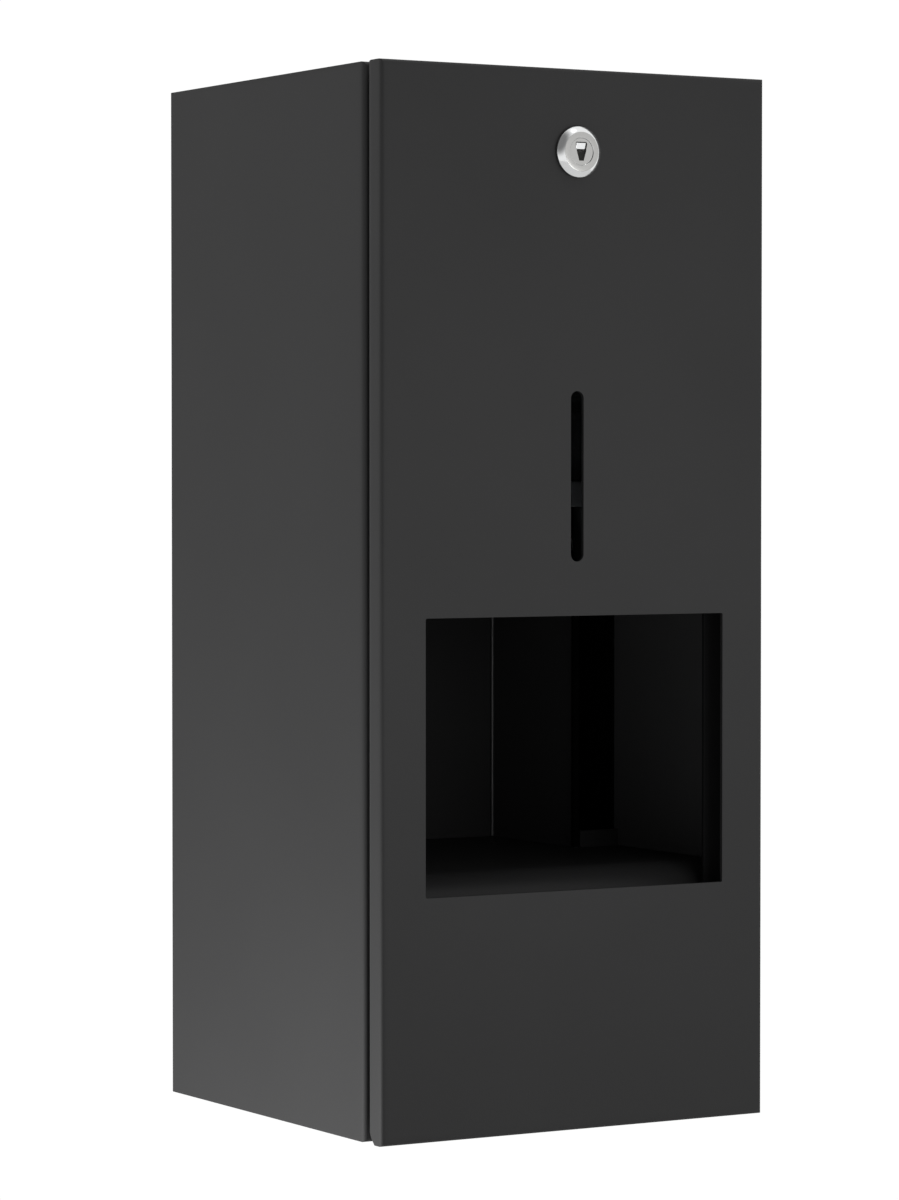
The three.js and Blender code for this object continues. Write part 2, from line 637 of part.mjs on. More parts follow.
// The cap turns a quarter on its bayonet. Its two wings are the finger grip.
function tankCap() {
  const outer = NECK_RADIUS + SEAT_GAP + CAP_WALL;
  const rim = TANK_HEIGHT + NECK_HEIGHT + SEAT_GAP;
  const low = TANK_HEIGHT + 2 * SEAT_GAP;
  const cup = cut(rod('z', outer, [low, rim + CAP_WALL]),
    rod('z', NECK_RADIUS + SEAT_GAP, [low - 1, rim]));
  const grip = block([-outer + 4, outer - 4], [-2, 2], [rim + 1, rim + CAP_WALL + CAP_GRIP]);
  return part('tank_cap', geometryOf(join(cup, grip)), blackPlastic);
}

function tankSeat() {
  const low = SHELF_TOP + SEAT_RISE;
  const high = low + SEAT_PLATE;
  const innerX = TANK_WIDTH / 2 + SEAT_GAP;
  const innerY = TANK_DEPTH / 2 + SEAT_GAP;
  const outer = roundedRectangle(2 * (innerX + SEAT_RIM_WALL), 2 * (innerY + SEAT_RIM_WALL),
    TANK_CORNER + SEAT_RIM_WALL);
  const pocket = roundedRectangle(2 * innerX, 2 * innerY, TANK_CORNER + SEAT_GAP);
  const rim = high + SEAT_RIM;
  const tray = cut(prism('z', outer, [low, rim], 4), prism('z', pocket, [high, rim + 1], 4));
  const legX = innerX - LEG_RADIUS + 1;
  const legY = innerY - LEG_RADIUS - 4;
  const legs = corners(legX, legY).map((centre) => rod('z', LEG_RADIUS, [PUMP_BASE, low + 1], centre, 12));
  const shaftAt = [PUMP_X, PUMP_Y - TANK_MID_Y];
  const bearingLow = low - BEARING_DROP;
  const bearing = rod('z', SHAFT_RADIUS + BEARING_WALL, [bearingLow, low + 1], shaftAt, 16);
  const shaftBore = rod('z', SHAFT_RADIUS + RUNNING_GAP, [bearingLow - 1, low + 1], shaftAt);
  const spoutAt = [SPOUT_X, SPOUT_Y - TANK_MID_Y];
  const spoutHole = rod('z', SOCKET_RADIUS + SEAT_GAP, [low - 1, high + 1], spoutAt);
  const seat = cut(join(tray, bearing, ...legs), shaftBore, spoutHole);
  return part('tank_seat', geometryOf(seat), greyPlastic);
}

// The spout plugs into this cup, and a barb at its foot feeds the pump tube.
function feedSocket() {
  const top = SHELF_TOP + SEAT_RISE + SEAT_PLATE - 1;
  const cupBore = SPOUT_RADIUS + SOCKET_RELIEF;
  const floor = TANK_BASE - SPOUT_LENGTH - SOCKET_SUMP;
  const barbZ = PUMP_BASE + TUBE_Z;
  const barbEnd = SOCKET_RADIUS + BARB_LENGTH;
  const outside = join(rod('z', SOCKET_RADIUS, [PUMP_BASE, top]),
    rod('y', BARB_RADIUS, [0, barbEnd], [0, barbZ], 12));
  const socket = cut(outside, rod('z', cupBore, [floor, top + 1]),
    rod('z', SOCKET_DRAIN, [barbZ, floor + 1], [0, 0], 12),
    rod('y', BARB_BORE, [0, barbEnd + 1], [0, barbZ], 8));
  const sealIn = SPOUT_RADIUS + 0.1;
  const sealOut = cupBore - 0.1;
  const ring = solid(turned([[sealIn, 0], [sealOut, 0], [sealOut, SEAL_HEIGHT], [sealIn, SEAL_HEIGHT],
    [sealIn, 0]]));
  const seal = part('socket_seal', geometryOf(ring), rubber);
  seal.position.z = TANK_BASE - SPOUT_LENGTH + 2;
  return assembly([SPOUT_X, SPOUT_Y, 0], part('feed_socket', geometryOf(socket), greyPlastic), seal);
}

// Peristaltic pump, about the rotor's axis, with z = 0 on the shelf
function pumpHousing() {
  const reach = CHAMBER_RADIUS + PUMP_WALL + 1;
  const ways = [-TRACK_RADIUS, TRACK_RADIUS].map((x) =>
    block([x - TUBE_RADIUS - SEAT_GAP, x + TUBE_RADIUS + SEAT_GAP], [-reach, 0],
      [TUBE_Z - TUBE_RADIUS - SEAT_GAP, PUMP_HEIGHT + 1]));
  const cup = cut(rod('z', CHAMBER_RADIUS + PUMP_WALL, [0, PUMP_HEIGHT], [0, 0], 32),
    rod('z', CHAMBER_RADIUS, [PUMP_FLOOR, PUMP_HEIGHT + 1], [0, 0], 32), ...ways,
    rod('z', SHAFT_RADIUS + RUNNING_GAP, [-1, PUMP_FLOOR + 1]));
  return part('pump_housing', geometryOf(cup), whitePlastic);
}

function pumpCover() {
  const cover = cut(rod('z', CHAMBER_RADIUS + PUMP_WALL, [0, PUMP_COVER], [0, 0], 32),
    rod('z', ROTOR_HUB + 1, [-1, PUMP_COVER + 1]));
  const mesh = part('pump_cover', geometryOf(cover), blackPlastic);
  mesh.position.z = PUMP_HEIGHT + SEAT_GAP;
  return mesh;
}

function rollerCentre(index) {
  const angle = (2 * Math.PI * index) / ROLLER_COUNT + Math.PI / 2;
  const reach = TRACK_RADIUS - TUBE_RADIUS - SEAT_GAP - ROLLER_RADIUS;
  return [reach * Math.cos(angle), reach * Math.sin(angle)];
}

function pumpRotor() {
  const low = PUMP_FLOOR + SEAT_GAP;
  const high = PUMP_HEIGHT - SEAT_GAP;
  const pins = Array.from({ length: ROLLER_COUNT }, (_, i) =>
    rod('z', ROLLER_PIN, [low + 0.5, high - 0.5], rollerCentre(i), 16));
  const hubTop = high + GEAR_LIFT;
  const spool = join(rod('z', ROTOR_RADIUS, [low, low + ROTOR_DISC]), rod('z', ROTOR_HUB, [low, hubTop]),
    rod('z', ROTOR_RADIUS, [high - ROTOR_DISC, high]), ...pins);
  const bored = cut(spool, rod('z', SHAFT_RADIUS + SEAT_GAP, [0, hubTop + 1]));
  return part('pump_rotor', geometryOf(bored), whitePlastic);
}

function rollers() {
  const low = PUMP_FLOOR + 2 * SEAT_GAP + ROTOR_DISC;
  const high = PUMP_HEIGHT - 2 * SEAT_GAP - ROTOR_DISC;
  const roller = cut(rod('z', ROLLER_RADIUS, [low, high], [0, 0], 16),
    rod('z', ROLLER_PIN + RUNNING_GAP, [low - 1, high + 1]));
  return Array.from({ length: ROLLER_COUNT }, (_, i) => {
    const mesh = part(`roller_${i + 1}`, geometryOf(roller), blackPlastic);
    mesh.position.set(...rollerCentre(i), 0);
    return mesh;
  });
}

// Straight-flanked teeth with a little backlash. A turn of half a tooth sets which way they start.
function toothedWheel(teeth, turn) {
  const pitchRadius = (GEAR_MODULE * teeth) / 2;
  const pitchAngle = (2 * Math.PI) / teeth;
  const halfTooth = (pitchAngle - TOOTH_BACKLASH / pitchRadius) / 4;
  const steps = [
    [pitchRadius - 1.25 * GEAR_MODULE, halfTooth * 1.75],
    [pitchRadius - 0.1 * GEAR_MODULE, halfTooth],
    [pitchRadius + 0.9 * GEAR_MODULE, halfTooth * 0.42],
  ];
  const points = [];
  for (let tooth = 0; tooth < teeth; tooth += 1) {
    const middle = tooth * pitchAngle + turn;
    steps.forEach(([r, a]) => points.push([r * Math.cos(middle - a), r * Math.sin(middle - a)]));
    [...steps].reverse().forEach(([r, a]) =>
      points.push([r * Math.cos(middle + a), r * Math.sin(middle + a)]));
  }
  return polygon(points);
}

function gearDistance() {
  return (GEAR_MODULE * (GEAR_TEETH + PINION_TEETH)) / 2 + GEAR_CENTRE_SLACK;
}

function driveGear() {
  const bossTop = GEAR_Z + GEAR_WIDTH + GEAR_BOSS;
  const teeth = prism('z', toothedWheel(GEAR_TEETH, 0), [GEAR_Z, GEAR_Z + GEAR_WIDTH]);
  const wheel = cut(join(teeth, rod('z', ROTOR_HUB, [GEAR_Z, bossTop])),
    rod('z', SHAFT_RADIUS + SEAT_GAP, [GEAR_Z - 1, bossTop + 1], [0, 0], 16));
  return part('drive_gear', geometryOf(wheel), whitePlastic);
}

function rotorShaft() {
  return part('rotor_shaft', geometryOf(rod('z', SHAFT_RADIUS, [SEAT_GAP, SEAT_RISE - 2])), steel);
}

function motorDrive() {
  const bossTop = MOTOR_HEIGHT + MOTOR_BOSS_RISE;
  const boreLow = MOTOR_HEIGHT - MOTOR_BORE_DEPTH;
  const gearTop = GEAR_Z + GEAR_WIDTH;
  const boss = rod('z', MOTOR_BOSS_RADIUS, [MOTOR_HEIGHT - 1, bossTop], [0, 0], 16);
  const can = cut(join(rod('z', MOTOR_RADIUS, [0, MOTOR_HEIGHT]), boss),
    rod('z', MOTOR_SHAFT + RUNNING_GAP, [boreLow, bossTop + 1], [0, 0], 16));
  const shaft = rod('z', MOTOR_SHAFT, [boreLow + 0.5, gearTop + 1], [0, 0], 16);
  const teeth = toothedWheel(PINION_TEETH, Math.PI / PINION_TEETH);
  const pinion = cut(prism('z', teeth, [GEAR_Z, gearTop]),
    rod('z', MOTOR_SHAFT + SEAT_GAP, [GEAR_Z - 1, gearTop + 1], [0, 0], 12));
  return assembly([-gearDistance(), 0, 0],
    part('motor', geometryOf(can), steel),
    part('motor_shaft', geometryOf(shaft), steel),
    part('motor_pinion', geometryOf(pinion), brass));
}

// The soft tube runs from the feed barb, round the back of the chamber, to the nozzle barb.
function pumpTube() {
  const nozzleEnd = NOZZLE_Y + NOZZLE_RADIUS + 2 * SEAT_GAP - PUMP_Y;
  const feedEnd = SPOUT_Y + SOCKET_RADIUS + 2 * SEAT_GAP - PUMP_Y;
  const at = (x, y) => new THREE.Vector3(x, y, TUBE_Z);
  const arcPoints = Array.from({ length: 13 }, (_, i) => {
    const angle = Math.PI - (i * Math.PI) / 12;
    return at(TRACK_RADIUS * Math.cos(angle), TRACK_RADIUS * Math.sin(angle));
  });
  const points = [at(-TRACK_RADIUS, nozzleEnd), at(-TRACK_RADIUS, nozzleEnd / 2), ...arcPoints,
    at(TRACK_RADIUS, feedEnd / 2), at(TRACK_RADIUS, feedEnd)];
  const section = disc(TUBE_RADIUS);
  section.holes.push(disc(TUBE_BORE));
  const smooth = new THREE.CatmullRomCurve3(points, false, 'centripetal');
  const settings = { steps: 36, bevelEnabled: false, curveSegments: 4, extrudePath: smooth };
  return part('pump_tube', geometryOf(solid(new THREE.ExtrudeGeometry(section, settings))), silicone);
}

function pump() {
  return assembly([PUMP_X, PUMP_Y, PUMP_BASE], pumpHousing(), pumpCover(), pumpRotor(), ...rollers(),
    driveGear(), rotorShaft(), motorDrive(), pumpTube());
}

// Nozzle and sensor in the recess ceiling, with z = 0 on the shelf's underside
function nozzle() {
  const barbZ = PUMP_BASE + TUBE_Z - (SHELF_TOP - SHEET);
  const outlet = join(
    rod('z', NOZZLE_TIP, [-NOZZLE_DROP, 0], [0, 0], 16),
    rod('z', NOZZLE_FLANGE, [-NOZZLE_FLANGE_DROP, -SEAT_GAP]),
    rod('z', NOZZLE_RADIUS, [-1, barbZ + NOZZLE_HEAD]),
    rod('y', BARB_RADIUS, [0, NOZZLE_RADIUS + BARB_LENGTH], [0, barbZ], 12));
  const nozzleBody = cut(outlet,
    rod('z', NOZZLE_BORE, [-NOZZLE_DROP - 1, barbZ + BARB_BORE], [0, 0], 12),
    rod('y', BARB_BORE, [0, NOZZLE_RADIUS + BARB_LENGTH + 1], [0, barbZ], 8));
  const nutLow = SHEET + SEAT_GAP;
  const nutTop = nutLow + NOZZLE_NUT_HEIGHT;
  const nut = cut(prism('z', hexagon(NOZZLE_NUT_RADIUS), [nutLow, nutTop]),
    rod('z', NOZZLE_RADIUS + SEAT_GAP, [nutLow - 1, nutTop + 1]));
  return assembly([NOZZLE_X, NOZZLE_Y, SHELF_TOP - SHEET],
    part('nozzle', geometryOf(nozzleBody), blackPlastic),
    part('nozzle_nut', geometryOf(nut), blackPlastic));
}

function handSensor() {
  const x = SENSOR_WIDTH / 2;
  const y = SENSOR_LENGTH / 2;
  const windowTop = SHEET + SENSOR_RISE;
  const diodeTop = windowTop + SEAT_GAP + DIODE_HEIGHT;
  const boardLow = diodeTop + SEAT_GAP;
  const diode = rod('z', DIODE_RADIUS, [windowTop + SEAT_GAP, diodeTop], [0, 0], 12);
  const sender = part('sensor_emitter', geometryOf(diode), smokedPlastic);
  sender.position.x = -SENSOR_PITCH / 2;
  const receiver = part('sensor_receiver', geometryOf(diode), smokedPlastic);
  receiver.position.x = SENSOR_PITCH / 2;
  const board = block([-x - SENSOR_BOARD_MARGIN, x + SENSOR_BOARD_MARGIN], [-y - 2, y + 1.5],
    [boardLow, boardLow + BOARD_SHEET]);
  return assembly([0, SENSOR_Y, SHELF_TOP - SHEET],
    part('sensor_window', geometryOf(block([-x, x], [-y, y], [-SENSOR_DROP, windowTop])), smokedPlastic),
    sender, receiver, part('sensor_board', geometryOf(board), boardGreen));
}

function controlBoard() {
  const left = -CHASSIS_INSIDE / 2 + BOARD_LEFT;
  const plate = block([left, BOARD_RIGHT], [-BOARD_SHEET, 0], [0, BOARD_HEIGHT]);
  const socketTop = CABLE_ENTRY + 2;
  const socket = block([left + 2, left + 2 + CONNECTOR_LENGTH], [-CONNECTOR_DEPTH, -1],
    [socketTop - CONNECTOR_HEIGHT, socketTop]);
  return assembly([0, WEB_FRONT - BOARD_STANDOFF, PUMP_BASE + BOARD_LIFT],
    part('control_board', geometryOf(join(plate, socket)), boardGreen));
}

// Battery box: four cells lie front to back, two over two, in bores that open at the front
function cellCentres() {
  return corners(CELL_PITCH / 2, CELL_PITCH / 2).map(([x, z]) => [x, z + BOX_MID_Z]);
}

function switchPlace() {
  return { x: (BOX_SIZE + SWITCH_WIDTH) / 2 + SWITCH_MARGIN, y: BOX_FRONT + SWITCH_SETBACK, z: BOX_MID_Z };
}

function batteryBox() {
  const half = BOX_SIZE / 2;
  const { x, y, z } = switchPlace();
  const wingX = [half - 1, x + SWITCH_WIDTH / 2 + SWITCH_MARGIN];
  const wing = block(wingX, [y, y + BOX_WALL], [z - SWITCH_HEIGHT, z + SWITCH_HEIGHT]);
  const hole = block([x - SWITCH_WIDTH / 2, x + SWITCH_WIDTH / 2], [y - 1, y + BOX_WALL + 1],
    [z - SWITCH_HEIGHT / 2, z + SWITCH_HEIGHT / 2]);
  const body = block([-half, half], [BOX_FRONT, BOX_BACK], [BOX_BASE, BOX_BASE + BOX_SIZE]);
  const bores = cellCentres().map((centre) =>
    rod('y', CELL_BORE, [BOX_FRONT - 1, BOX_BACK - BOX_WALL], centre));
  return part('battery_box', geometryOf(cut(join(body, wing), hole, ...bores)), blackPlastic);
}

function cells() {
  const springTop = SPRING_HEIGHT - SEAT_GAP;
  const spring = turned([[0, 0], [SPRING_FOOT, 0], [SPRING_TIP, springTop], [0, springTop]], 12)
    .rotateX(Math.PI / 2);
  const shoulder = CELL_LENGTH - CELL_NUB_LENGTH;
  const cell = turned([[0, 0], [CELL_RADIUS, 0], [CELL_RADIUS, shoulder], [CELL_NUB, shoulder],
    [CELL_NUB, CELL_LENGTH], [0, CELL_LENGTH]]).rotateX(Math.PI / 2);
  return cellCentres().flatMap(([x, z], i) => {
    const contact = part(`contact_spring_${i + 1}`, spring.clone(), steel);
    contact.position.set(x, BOX_BACK - BOX_WALL - SEAT_GAP, z);
    const battery = part(`battery_${i + 1}`, cell.clone(), cellWrap);
    battery.position.set(x, BOX_BACK - BOX_WALL - SPRING_HEIGHT - SEAT_GAP, z);
    return [contact, battery];
  });
}

function batteryCover() {
  const half = BOX_SIZE / 2;
  const back = BOX_FRONT - SEAT_GAP;
  const plate = block([-half, half], [back - COVER_SHEET, back], [BOX_BASE, BOX_BASE + BOX_SIZE]);
  const ribs = [-GRIP_PITCH, 0, GRIP_PITCH].map((x) => block([x - GRIP_WIDTH / 2, x + GRIP_WIDTH / 2],
    [back - COVER_SHEET - GRIP_HEIGHT, back - 1],
    [BOX_MID_Z - GRIP_LENGTH / 2, BOX_MID_Z + GRIP_LENGTH / 2]));
  return part('battery_cover', geometryOf(join(plate, ...ribs)), blackPlastic);
}

// A rocker switch beside the batteries. The rocker rests tilted one way and rocks to the other.
function powerSwitch() {
  const { x, y, z } = switchPlace();
  const halfX = SWITCH_WIDTH / 2 - SEAT_GAP;
  const halfZ = SWITCH_HEIGHT / 2 - SEAT_GAP;
  const rimX = halfX + SWITCH_BEZEL;
  const rimZ = halfZ + SWITCH_BEZEL;
  const rim = block([-rimX, rimX], [-SWITCH_BEZEL, -SEAT_GAP], [-rimZ, rimZ]);
  const shell = cut(join(rim, block([-halfX, halfX], [-1, SWITCH_BODY_DEPTH], [-halfZ, halfZ])),
    block([-halfX + SWITCH_WALL, halfX - SWITCH_WALL], [-2, SWITCH_BODY_DEPTH - SWITCH_WALL],
      [-halfZ + SWITCH_WALL, halfZ - SWITCH_WALL]));
  const keyX = halfX - SWITCH_WALL - SEAT_GAP;
  const keyZ = halfZ - SWITCH_WALL - 1;
  const outline = polygon([[3, -4], [3, 4], [-1.2, keyZ], [-3.4, keyZ], [-1.6, 0], [-3.4, -keyZ],
    [-1.2, -keyZ]]);
  const key = part('switch_rocker', geometryOf(prism('x', outline, [-keyX, keyX])), greyPlastic);
  key.rotation.x = THREE.MathUtils.degToRad(-ROCKER_TILT);
  return assembly([x, y, z], part('switch_body', geometryOf(shell), blackPlastic), key);
}

// The battery lead leaves the box, passes the chassis plate, climbs the side duct and comes back in.
function batteryCable() {
  const duct = -(PLATE_OUT + INNER_X) / 2;
  const low = CABLE_LOW;
  const high = CABLE_HIGH;
  const boxSide = -BOX_SIZE / 2 - SEAT_GAP;
  const plate = -PLATE_OUT + SHEET / 2;
  const socketX = -CHASSIS_INSIDE / 2 + BOARD_LEFT + 2 - SEAT_GAP;
  const points = [
    [boxSide, CABLE_Y, low], [plate + 5, CABLE_Y, low], [plate, CABLE_Y, low], [plate - 3, CABLE_Y, low],
    [duct + 1.5, CABLE_Y, low + 2.5], [duct, CABLE_Y, low + 7], [duct, CABLE_Y, (low + high) / 2],
    [duct, CABLE_Y, high - 7], [duct + 1.5, CABLE_Y, high - 2.5], [plate - 3, CABLE_Y, high],
    [plate, CABLE_Y, high], [plate + 3, CABLE_Y, high], [socketX - 4, CABLE_Y - 1, high - 2],
    [socketX, CABLE_Y - 1, high - 2],
  ].map((point) => new THREE.Vector3(...point));
  const settings = { steps: 56, bevelEnabled: false, curveSegments: 4,
    extrudePath: new THREE.CatmullRomCurve3(points, false, 'centripetal') };
  const cable = new THREE.ExtrudeGeometry(disc(CABLE_RADIUS), settings);
  const groove = SHEET / 2 + 0.2;
  const lip = groove + 1;
  const inner = CABLE_RADIUS + SEAT_GAP;
  const neck = GROMMET_RADIUS - 1 - SEAT_GAP;
  const section = [[inner, -lip], [GROMMET_RADIUS, -lip], [GROMMET_RADIUS, -groove], [neck, -groove],
    [neck, groove], [GROMMET_RADIUS, groove], [GROMMET_RADIUS, lip], [inner, lip], [inner, -lip]];
  const grommets = [['grommet_lower', low], ['grommet_upper', high]].map(([name, z]) => {
    const ring = part(name, turned(section, 12).rotateY(Math.PI / 2), rubber);
    ring.position.set(plate, CABLE_Y, z);
    return ring;
  });
  return [part('battery_cable', geometryOf(solid(cable)), rubber), ...grommets];
}

const dispenser = new THREE.Group();
dispenser.add(
  assembly([0, 0, 0], housingShell(), backPanel(), chassisBracket(), ...chassisNuts(), dripTray(),
    pumpShelf()),
  assembly([0, 0, 0], doorPanel(), ...hingeSide(-1, 'left'), ...hingeSide(1, 'right'), lock()),
  assembly([0, TANK_MID_Y, TANK_BASE], tankBody(), tankCap()),
  assembly([0, TANK_MID_Y, 0], tankSeat()),
  feedSocket(),
  pump(),
  nozzle(),
  handSensor(),
  controlBoard(),
  assembly([0, 0, 0], batteryBox(), ...cells(), batteryCover(), powerSwitch(), ...batteryCable()),
);

export default dispenser;
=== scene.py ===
"""Looks for a wall mounted, touch-free soap dispenser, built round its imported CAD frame."""

import json
import math

import bmesh
import bpy
from mathutils import Matrix, Vector


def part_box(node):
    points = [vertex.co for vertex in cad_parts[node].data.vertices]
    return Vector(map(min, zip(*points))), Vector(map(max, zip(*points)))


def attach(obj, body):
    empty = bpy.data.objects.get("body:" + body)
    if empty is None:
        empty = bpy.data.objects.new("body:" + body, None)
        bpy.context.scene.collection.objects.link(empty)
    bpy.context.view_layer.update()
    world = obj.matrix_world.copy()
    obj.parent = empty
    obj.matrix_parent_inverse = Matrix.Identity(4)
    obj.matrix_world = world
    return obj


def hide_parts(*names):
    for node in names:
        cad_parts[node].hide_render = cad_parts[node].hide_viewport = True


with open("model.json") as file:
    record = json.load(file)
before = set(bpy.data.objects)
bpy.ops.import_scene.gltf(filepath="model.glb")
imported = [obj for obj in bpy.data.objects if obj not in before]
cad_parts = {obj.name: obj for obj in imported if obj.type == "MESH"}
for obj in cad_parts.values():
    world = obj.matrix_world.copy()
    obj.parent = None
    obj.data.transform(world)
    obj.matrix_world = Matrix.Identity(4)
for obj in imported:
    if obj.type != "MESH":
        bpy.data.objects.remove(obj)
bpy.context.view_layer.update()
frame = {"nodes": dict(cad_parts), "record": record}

MM = 0.001
ROUND = 48                      # steps in a full turn
WELD = 0.002                    # points closer than this are one
SMOOTH_ANGLE = math.radians(32)
HAIRLINE = 0.12                 # rounding of a cut sheet edge

SHEET = 1.2
SHELL_BEND = 2.0
DOOR_BEND = 1.4
BORDER = 1.6                    # flat margin that keeps a bend from shading its panel
FRAME_LIP = 13.5
WINDOW_MIDDLE = -47.25
WINDOW_SIZE = (109.0, 85.5)
SLOT_FOOT = 14.65
SLOT_LENGTH = 53.0
SLOT_HALF = 2.35
LOCK_RISE = 139.3
LOCK_HOLE = 5.8
PLUG_RADIUS = 4.2
SCREW_REACH = 38.0              # wall screws, left and right of the middle
SCREW_RISE = 138.0              # and above and below it
STUD_REACH, STUD_RISE = 44.0, 118.0
RECESS_FLOOR = -85.0
RECESS_CEILING = -0.2
TRAY_ROLL = 14.0
CABLE_HOLES = (-119.0, 13.5)
CABLE_Y = -10.0
CELLS = (1, 2, 3, 4)

BODY_OF = {node: body for body, nodes in frame["record"]["behaviour"]["bodies"].items()
           for node in nodes}


# ---------------------------------------------------------------- camera, light and floor

def place_camera():
    lens = bpy.data.cameras.new("view_camera")
    lens.lens = 131.04
    lens.sensor_width = 36.0
    lens.clip_end = 50.0
    camera = bpy.data.objects.new("view_camera", lens)
    camera.location = (-0.7240, -1.2888, 0.0394)
    camera.rotation_euler = (math.radians(88.354), 0.0, math.radians(-30.545))
    bpy.context.scene.collection.objects.link(camera)
    bpy.context.scene.camera = camera


def light_room():
    """A white room with one dim patch, high in front on the left, for the polished parts to mirror."""
    world = bpy.data.worlds.new("white_room")
    bpy.context.scene.world = world
    world.use_nodes = True
    tree = world.node_tree
    background = tree.nodes["Background"]
    background.inputs["Strength"].default_value = 1.02
    where = tree.nodes.new("ShaderNodeTexCoord")
    facing = tree.nodes.new("ShaderNodeVectorMath")
    facing.operation = "DOT_PRODUCT"
    facing.inputs[1].default_value = Vector((-0.66, -0.5, 0.56)).normalized()
    patch = tree.nodes.new("ShaderNodeMapRange")
    patch.interpolation_type = "SMOOTHSTEP"
    patch.inputs["From Min"].default_value = 0.62
    patch.inputs["From Max"].default_value = 0.93
    patch.inputs["To Min"].default_value = 1.0
    patch.inputs["To Max"].default_value = 0.22
    tree.links.new(where.outputs["Generated"], facing.inputs[0])
    tree.links.new(facing.outputs["Value"], patch.inputs["Value"])
    tree.links.new(patch.outputs["Result"], background.inputs["Color"])


def soft_light(name, location, target, size, power):
    lamp = bpy.data.lights.new(name, "AREA")
    lamp.shape = "DISK"
    lamp.size = size
    lamp.energy = power
    light = bpy.data.objects.new(name, lamp)
    light.location = location
    aim = Vector(target) - Vector(location)
    light.rotation_euler = aim.to_track_quat("-Z", "Y").to_euler()
    light.visible_camera = False
    bpy.context.scene.collection.objects.link(light)


def lay_floor():
    """A pale round floor, well below the box as a washroom floor is."""
    bm = bmesh.new()
    bmesh.ops.create_circle(bm, cap_ends=True, segments=96, radius=2.2)
    bmesh.ops.translate(bm, vec=(0.0, -0.3, -1.0), verts=bm.verts)
    mesh = bpy.data.meshes.new("floor")
    bm.to_mesh(mesh)
    bm.free()
    floor = bpy.data.objects.new("floor", mesh)
    bpy.context.scene.collection.objects.link(floor)
    mesh.materials.append(finish_of("pale_floor", (0.86, 0.86, 0.86), 0.85, scale=40.0, grain=0.05,
                                    blotch=0.01, blotch_scale=4.0))


# ---------------------------------------------------------------- materials

def finish_of(name, color, roughness, metallic=0.0, specular=0.5, scale=900.0, grain=0.3,
              blotch=0.1, rough_swing=0.06, blotch_scale=18.0, **sockets):
    """A finish with a fine bump, a slow colour drift and uneven gloss, all on Object coordinates."""
    material = bpy.data.materials.new(name)
    material.use_nodes = True
    nodes, links = material.node_tree.nodes, material.node_tree.links
    shader = nodes["Principled BSDF"]
    shader.inputs["Metallic"].default_value = metallic
    shader.inputs["Specular IOR Level"].default_value = specular
    for socket, value in sockets.items():
        shader.inputs[socket.replace("_", " ")].default_value = value
    where = nodes.new("ShaderNodeTexCoord")

    drift = nodes.new("ShaderNodeTexNoise")
    drift.inputs["Scale"].default_value = blotch_scale
    drift.inputs["Detail"].default_value = 3.0
    links.new(where.outputs["Object"], drift.inputs["Vector"])
    ramp = nodes.new("ShaderNodeValToRGB")
    ramp.color_ramp.elements[0].position = 0.3
    ramp.color_ramp.elements[1].position = 0.7
    for element, gain in zip(ramp.color_ramp.elements, (1.0 - blotch, 1.0 + blotch)):
        element.color = (*(min(1.0, c * gain) for c in color), 1.0)
    links.new(drift.outputs["Fac"], ramp.inputs["Fac"])
    links.new(ramp.outputs["Color"], shader.inputs["Base Color"])

    speckle = nodes.new("ShaderNodeTexNoise")
    speckle.inputs["Scale"].default_value = scale
    speckle.inputs["Detail"].default_value = 2.0
    links.new(where.outputs["Object"], speckle.inputs["Vector"])
    gloss = nodes.new("ShaderNodeMapRange")
    gloss.inputs["To Min"].default_value = max(0.02, roughness - rough_swing)
    gloss.inputs["To Max"].default_value = min(1.0, roughness + rough_swing)
    links.new(speckle.outputs["Fac"], gloss.inputs["Value"])
    links.new(gloss.outputs["Result"], shader.inputs["Roughness"])

    bump = nodes.new("ShaderNodeBump")
    bump.inputs["Strength"].default_value = grain
    bump.inputs["Distance"].default_value = 0.12 * MM
    links.new(speckle.outputs["Fac"], bump.inputs["Height"])
    links.new(bump.outputs["Normal"], shader.inputs["Normal"])
    return material


def board_finish(name):
    """Green solder mask with pale tracks that run square to each other."""
    material = finish_of(name, (0.02, 0.11, 0.06), 0.35, scale=700.0, grain=0.1)
    nodes, links = material.node_tree.nodes, material.node_tree.links
    shader = nodes["Principled BSDF"]
    mask = shader.inputs["Base Color"].links[0].from_socket
    tracks = nodes.new("ShaderNodeTexBrick")
    tracks.inputs["Scale"].default_value = 260.0
    tracks.inputs["Mortar Size"].default_value = 0.03
    turn = nodes.new("ShaderNodeMapping")
    turn.inputs["Rotation"].default_value = (math.radians(90.0), 0.0, 0.0)
    where = nodes.new("ShaderNodeTexCoord")
    links.new(where.outputs["Object"], turn.inputs["Vector"])
    links.new(turn.outputs["Vector"], tracks.inputs["Vector"])
    mix = nodes.new("ShaderNodeMix")
    mix.data_type = "RGBA"
    mix.inputs["B"].default_value = (0.06, 0.3, 0.13, 1.0)
    links.new(tracks.outputs["Fac"], mix.inputs["Factor"])
    links.new(mask, mix.inputs["A"])
    links.new(mix.outputs["Result"], shader.inputs["Base Color"])
    return material


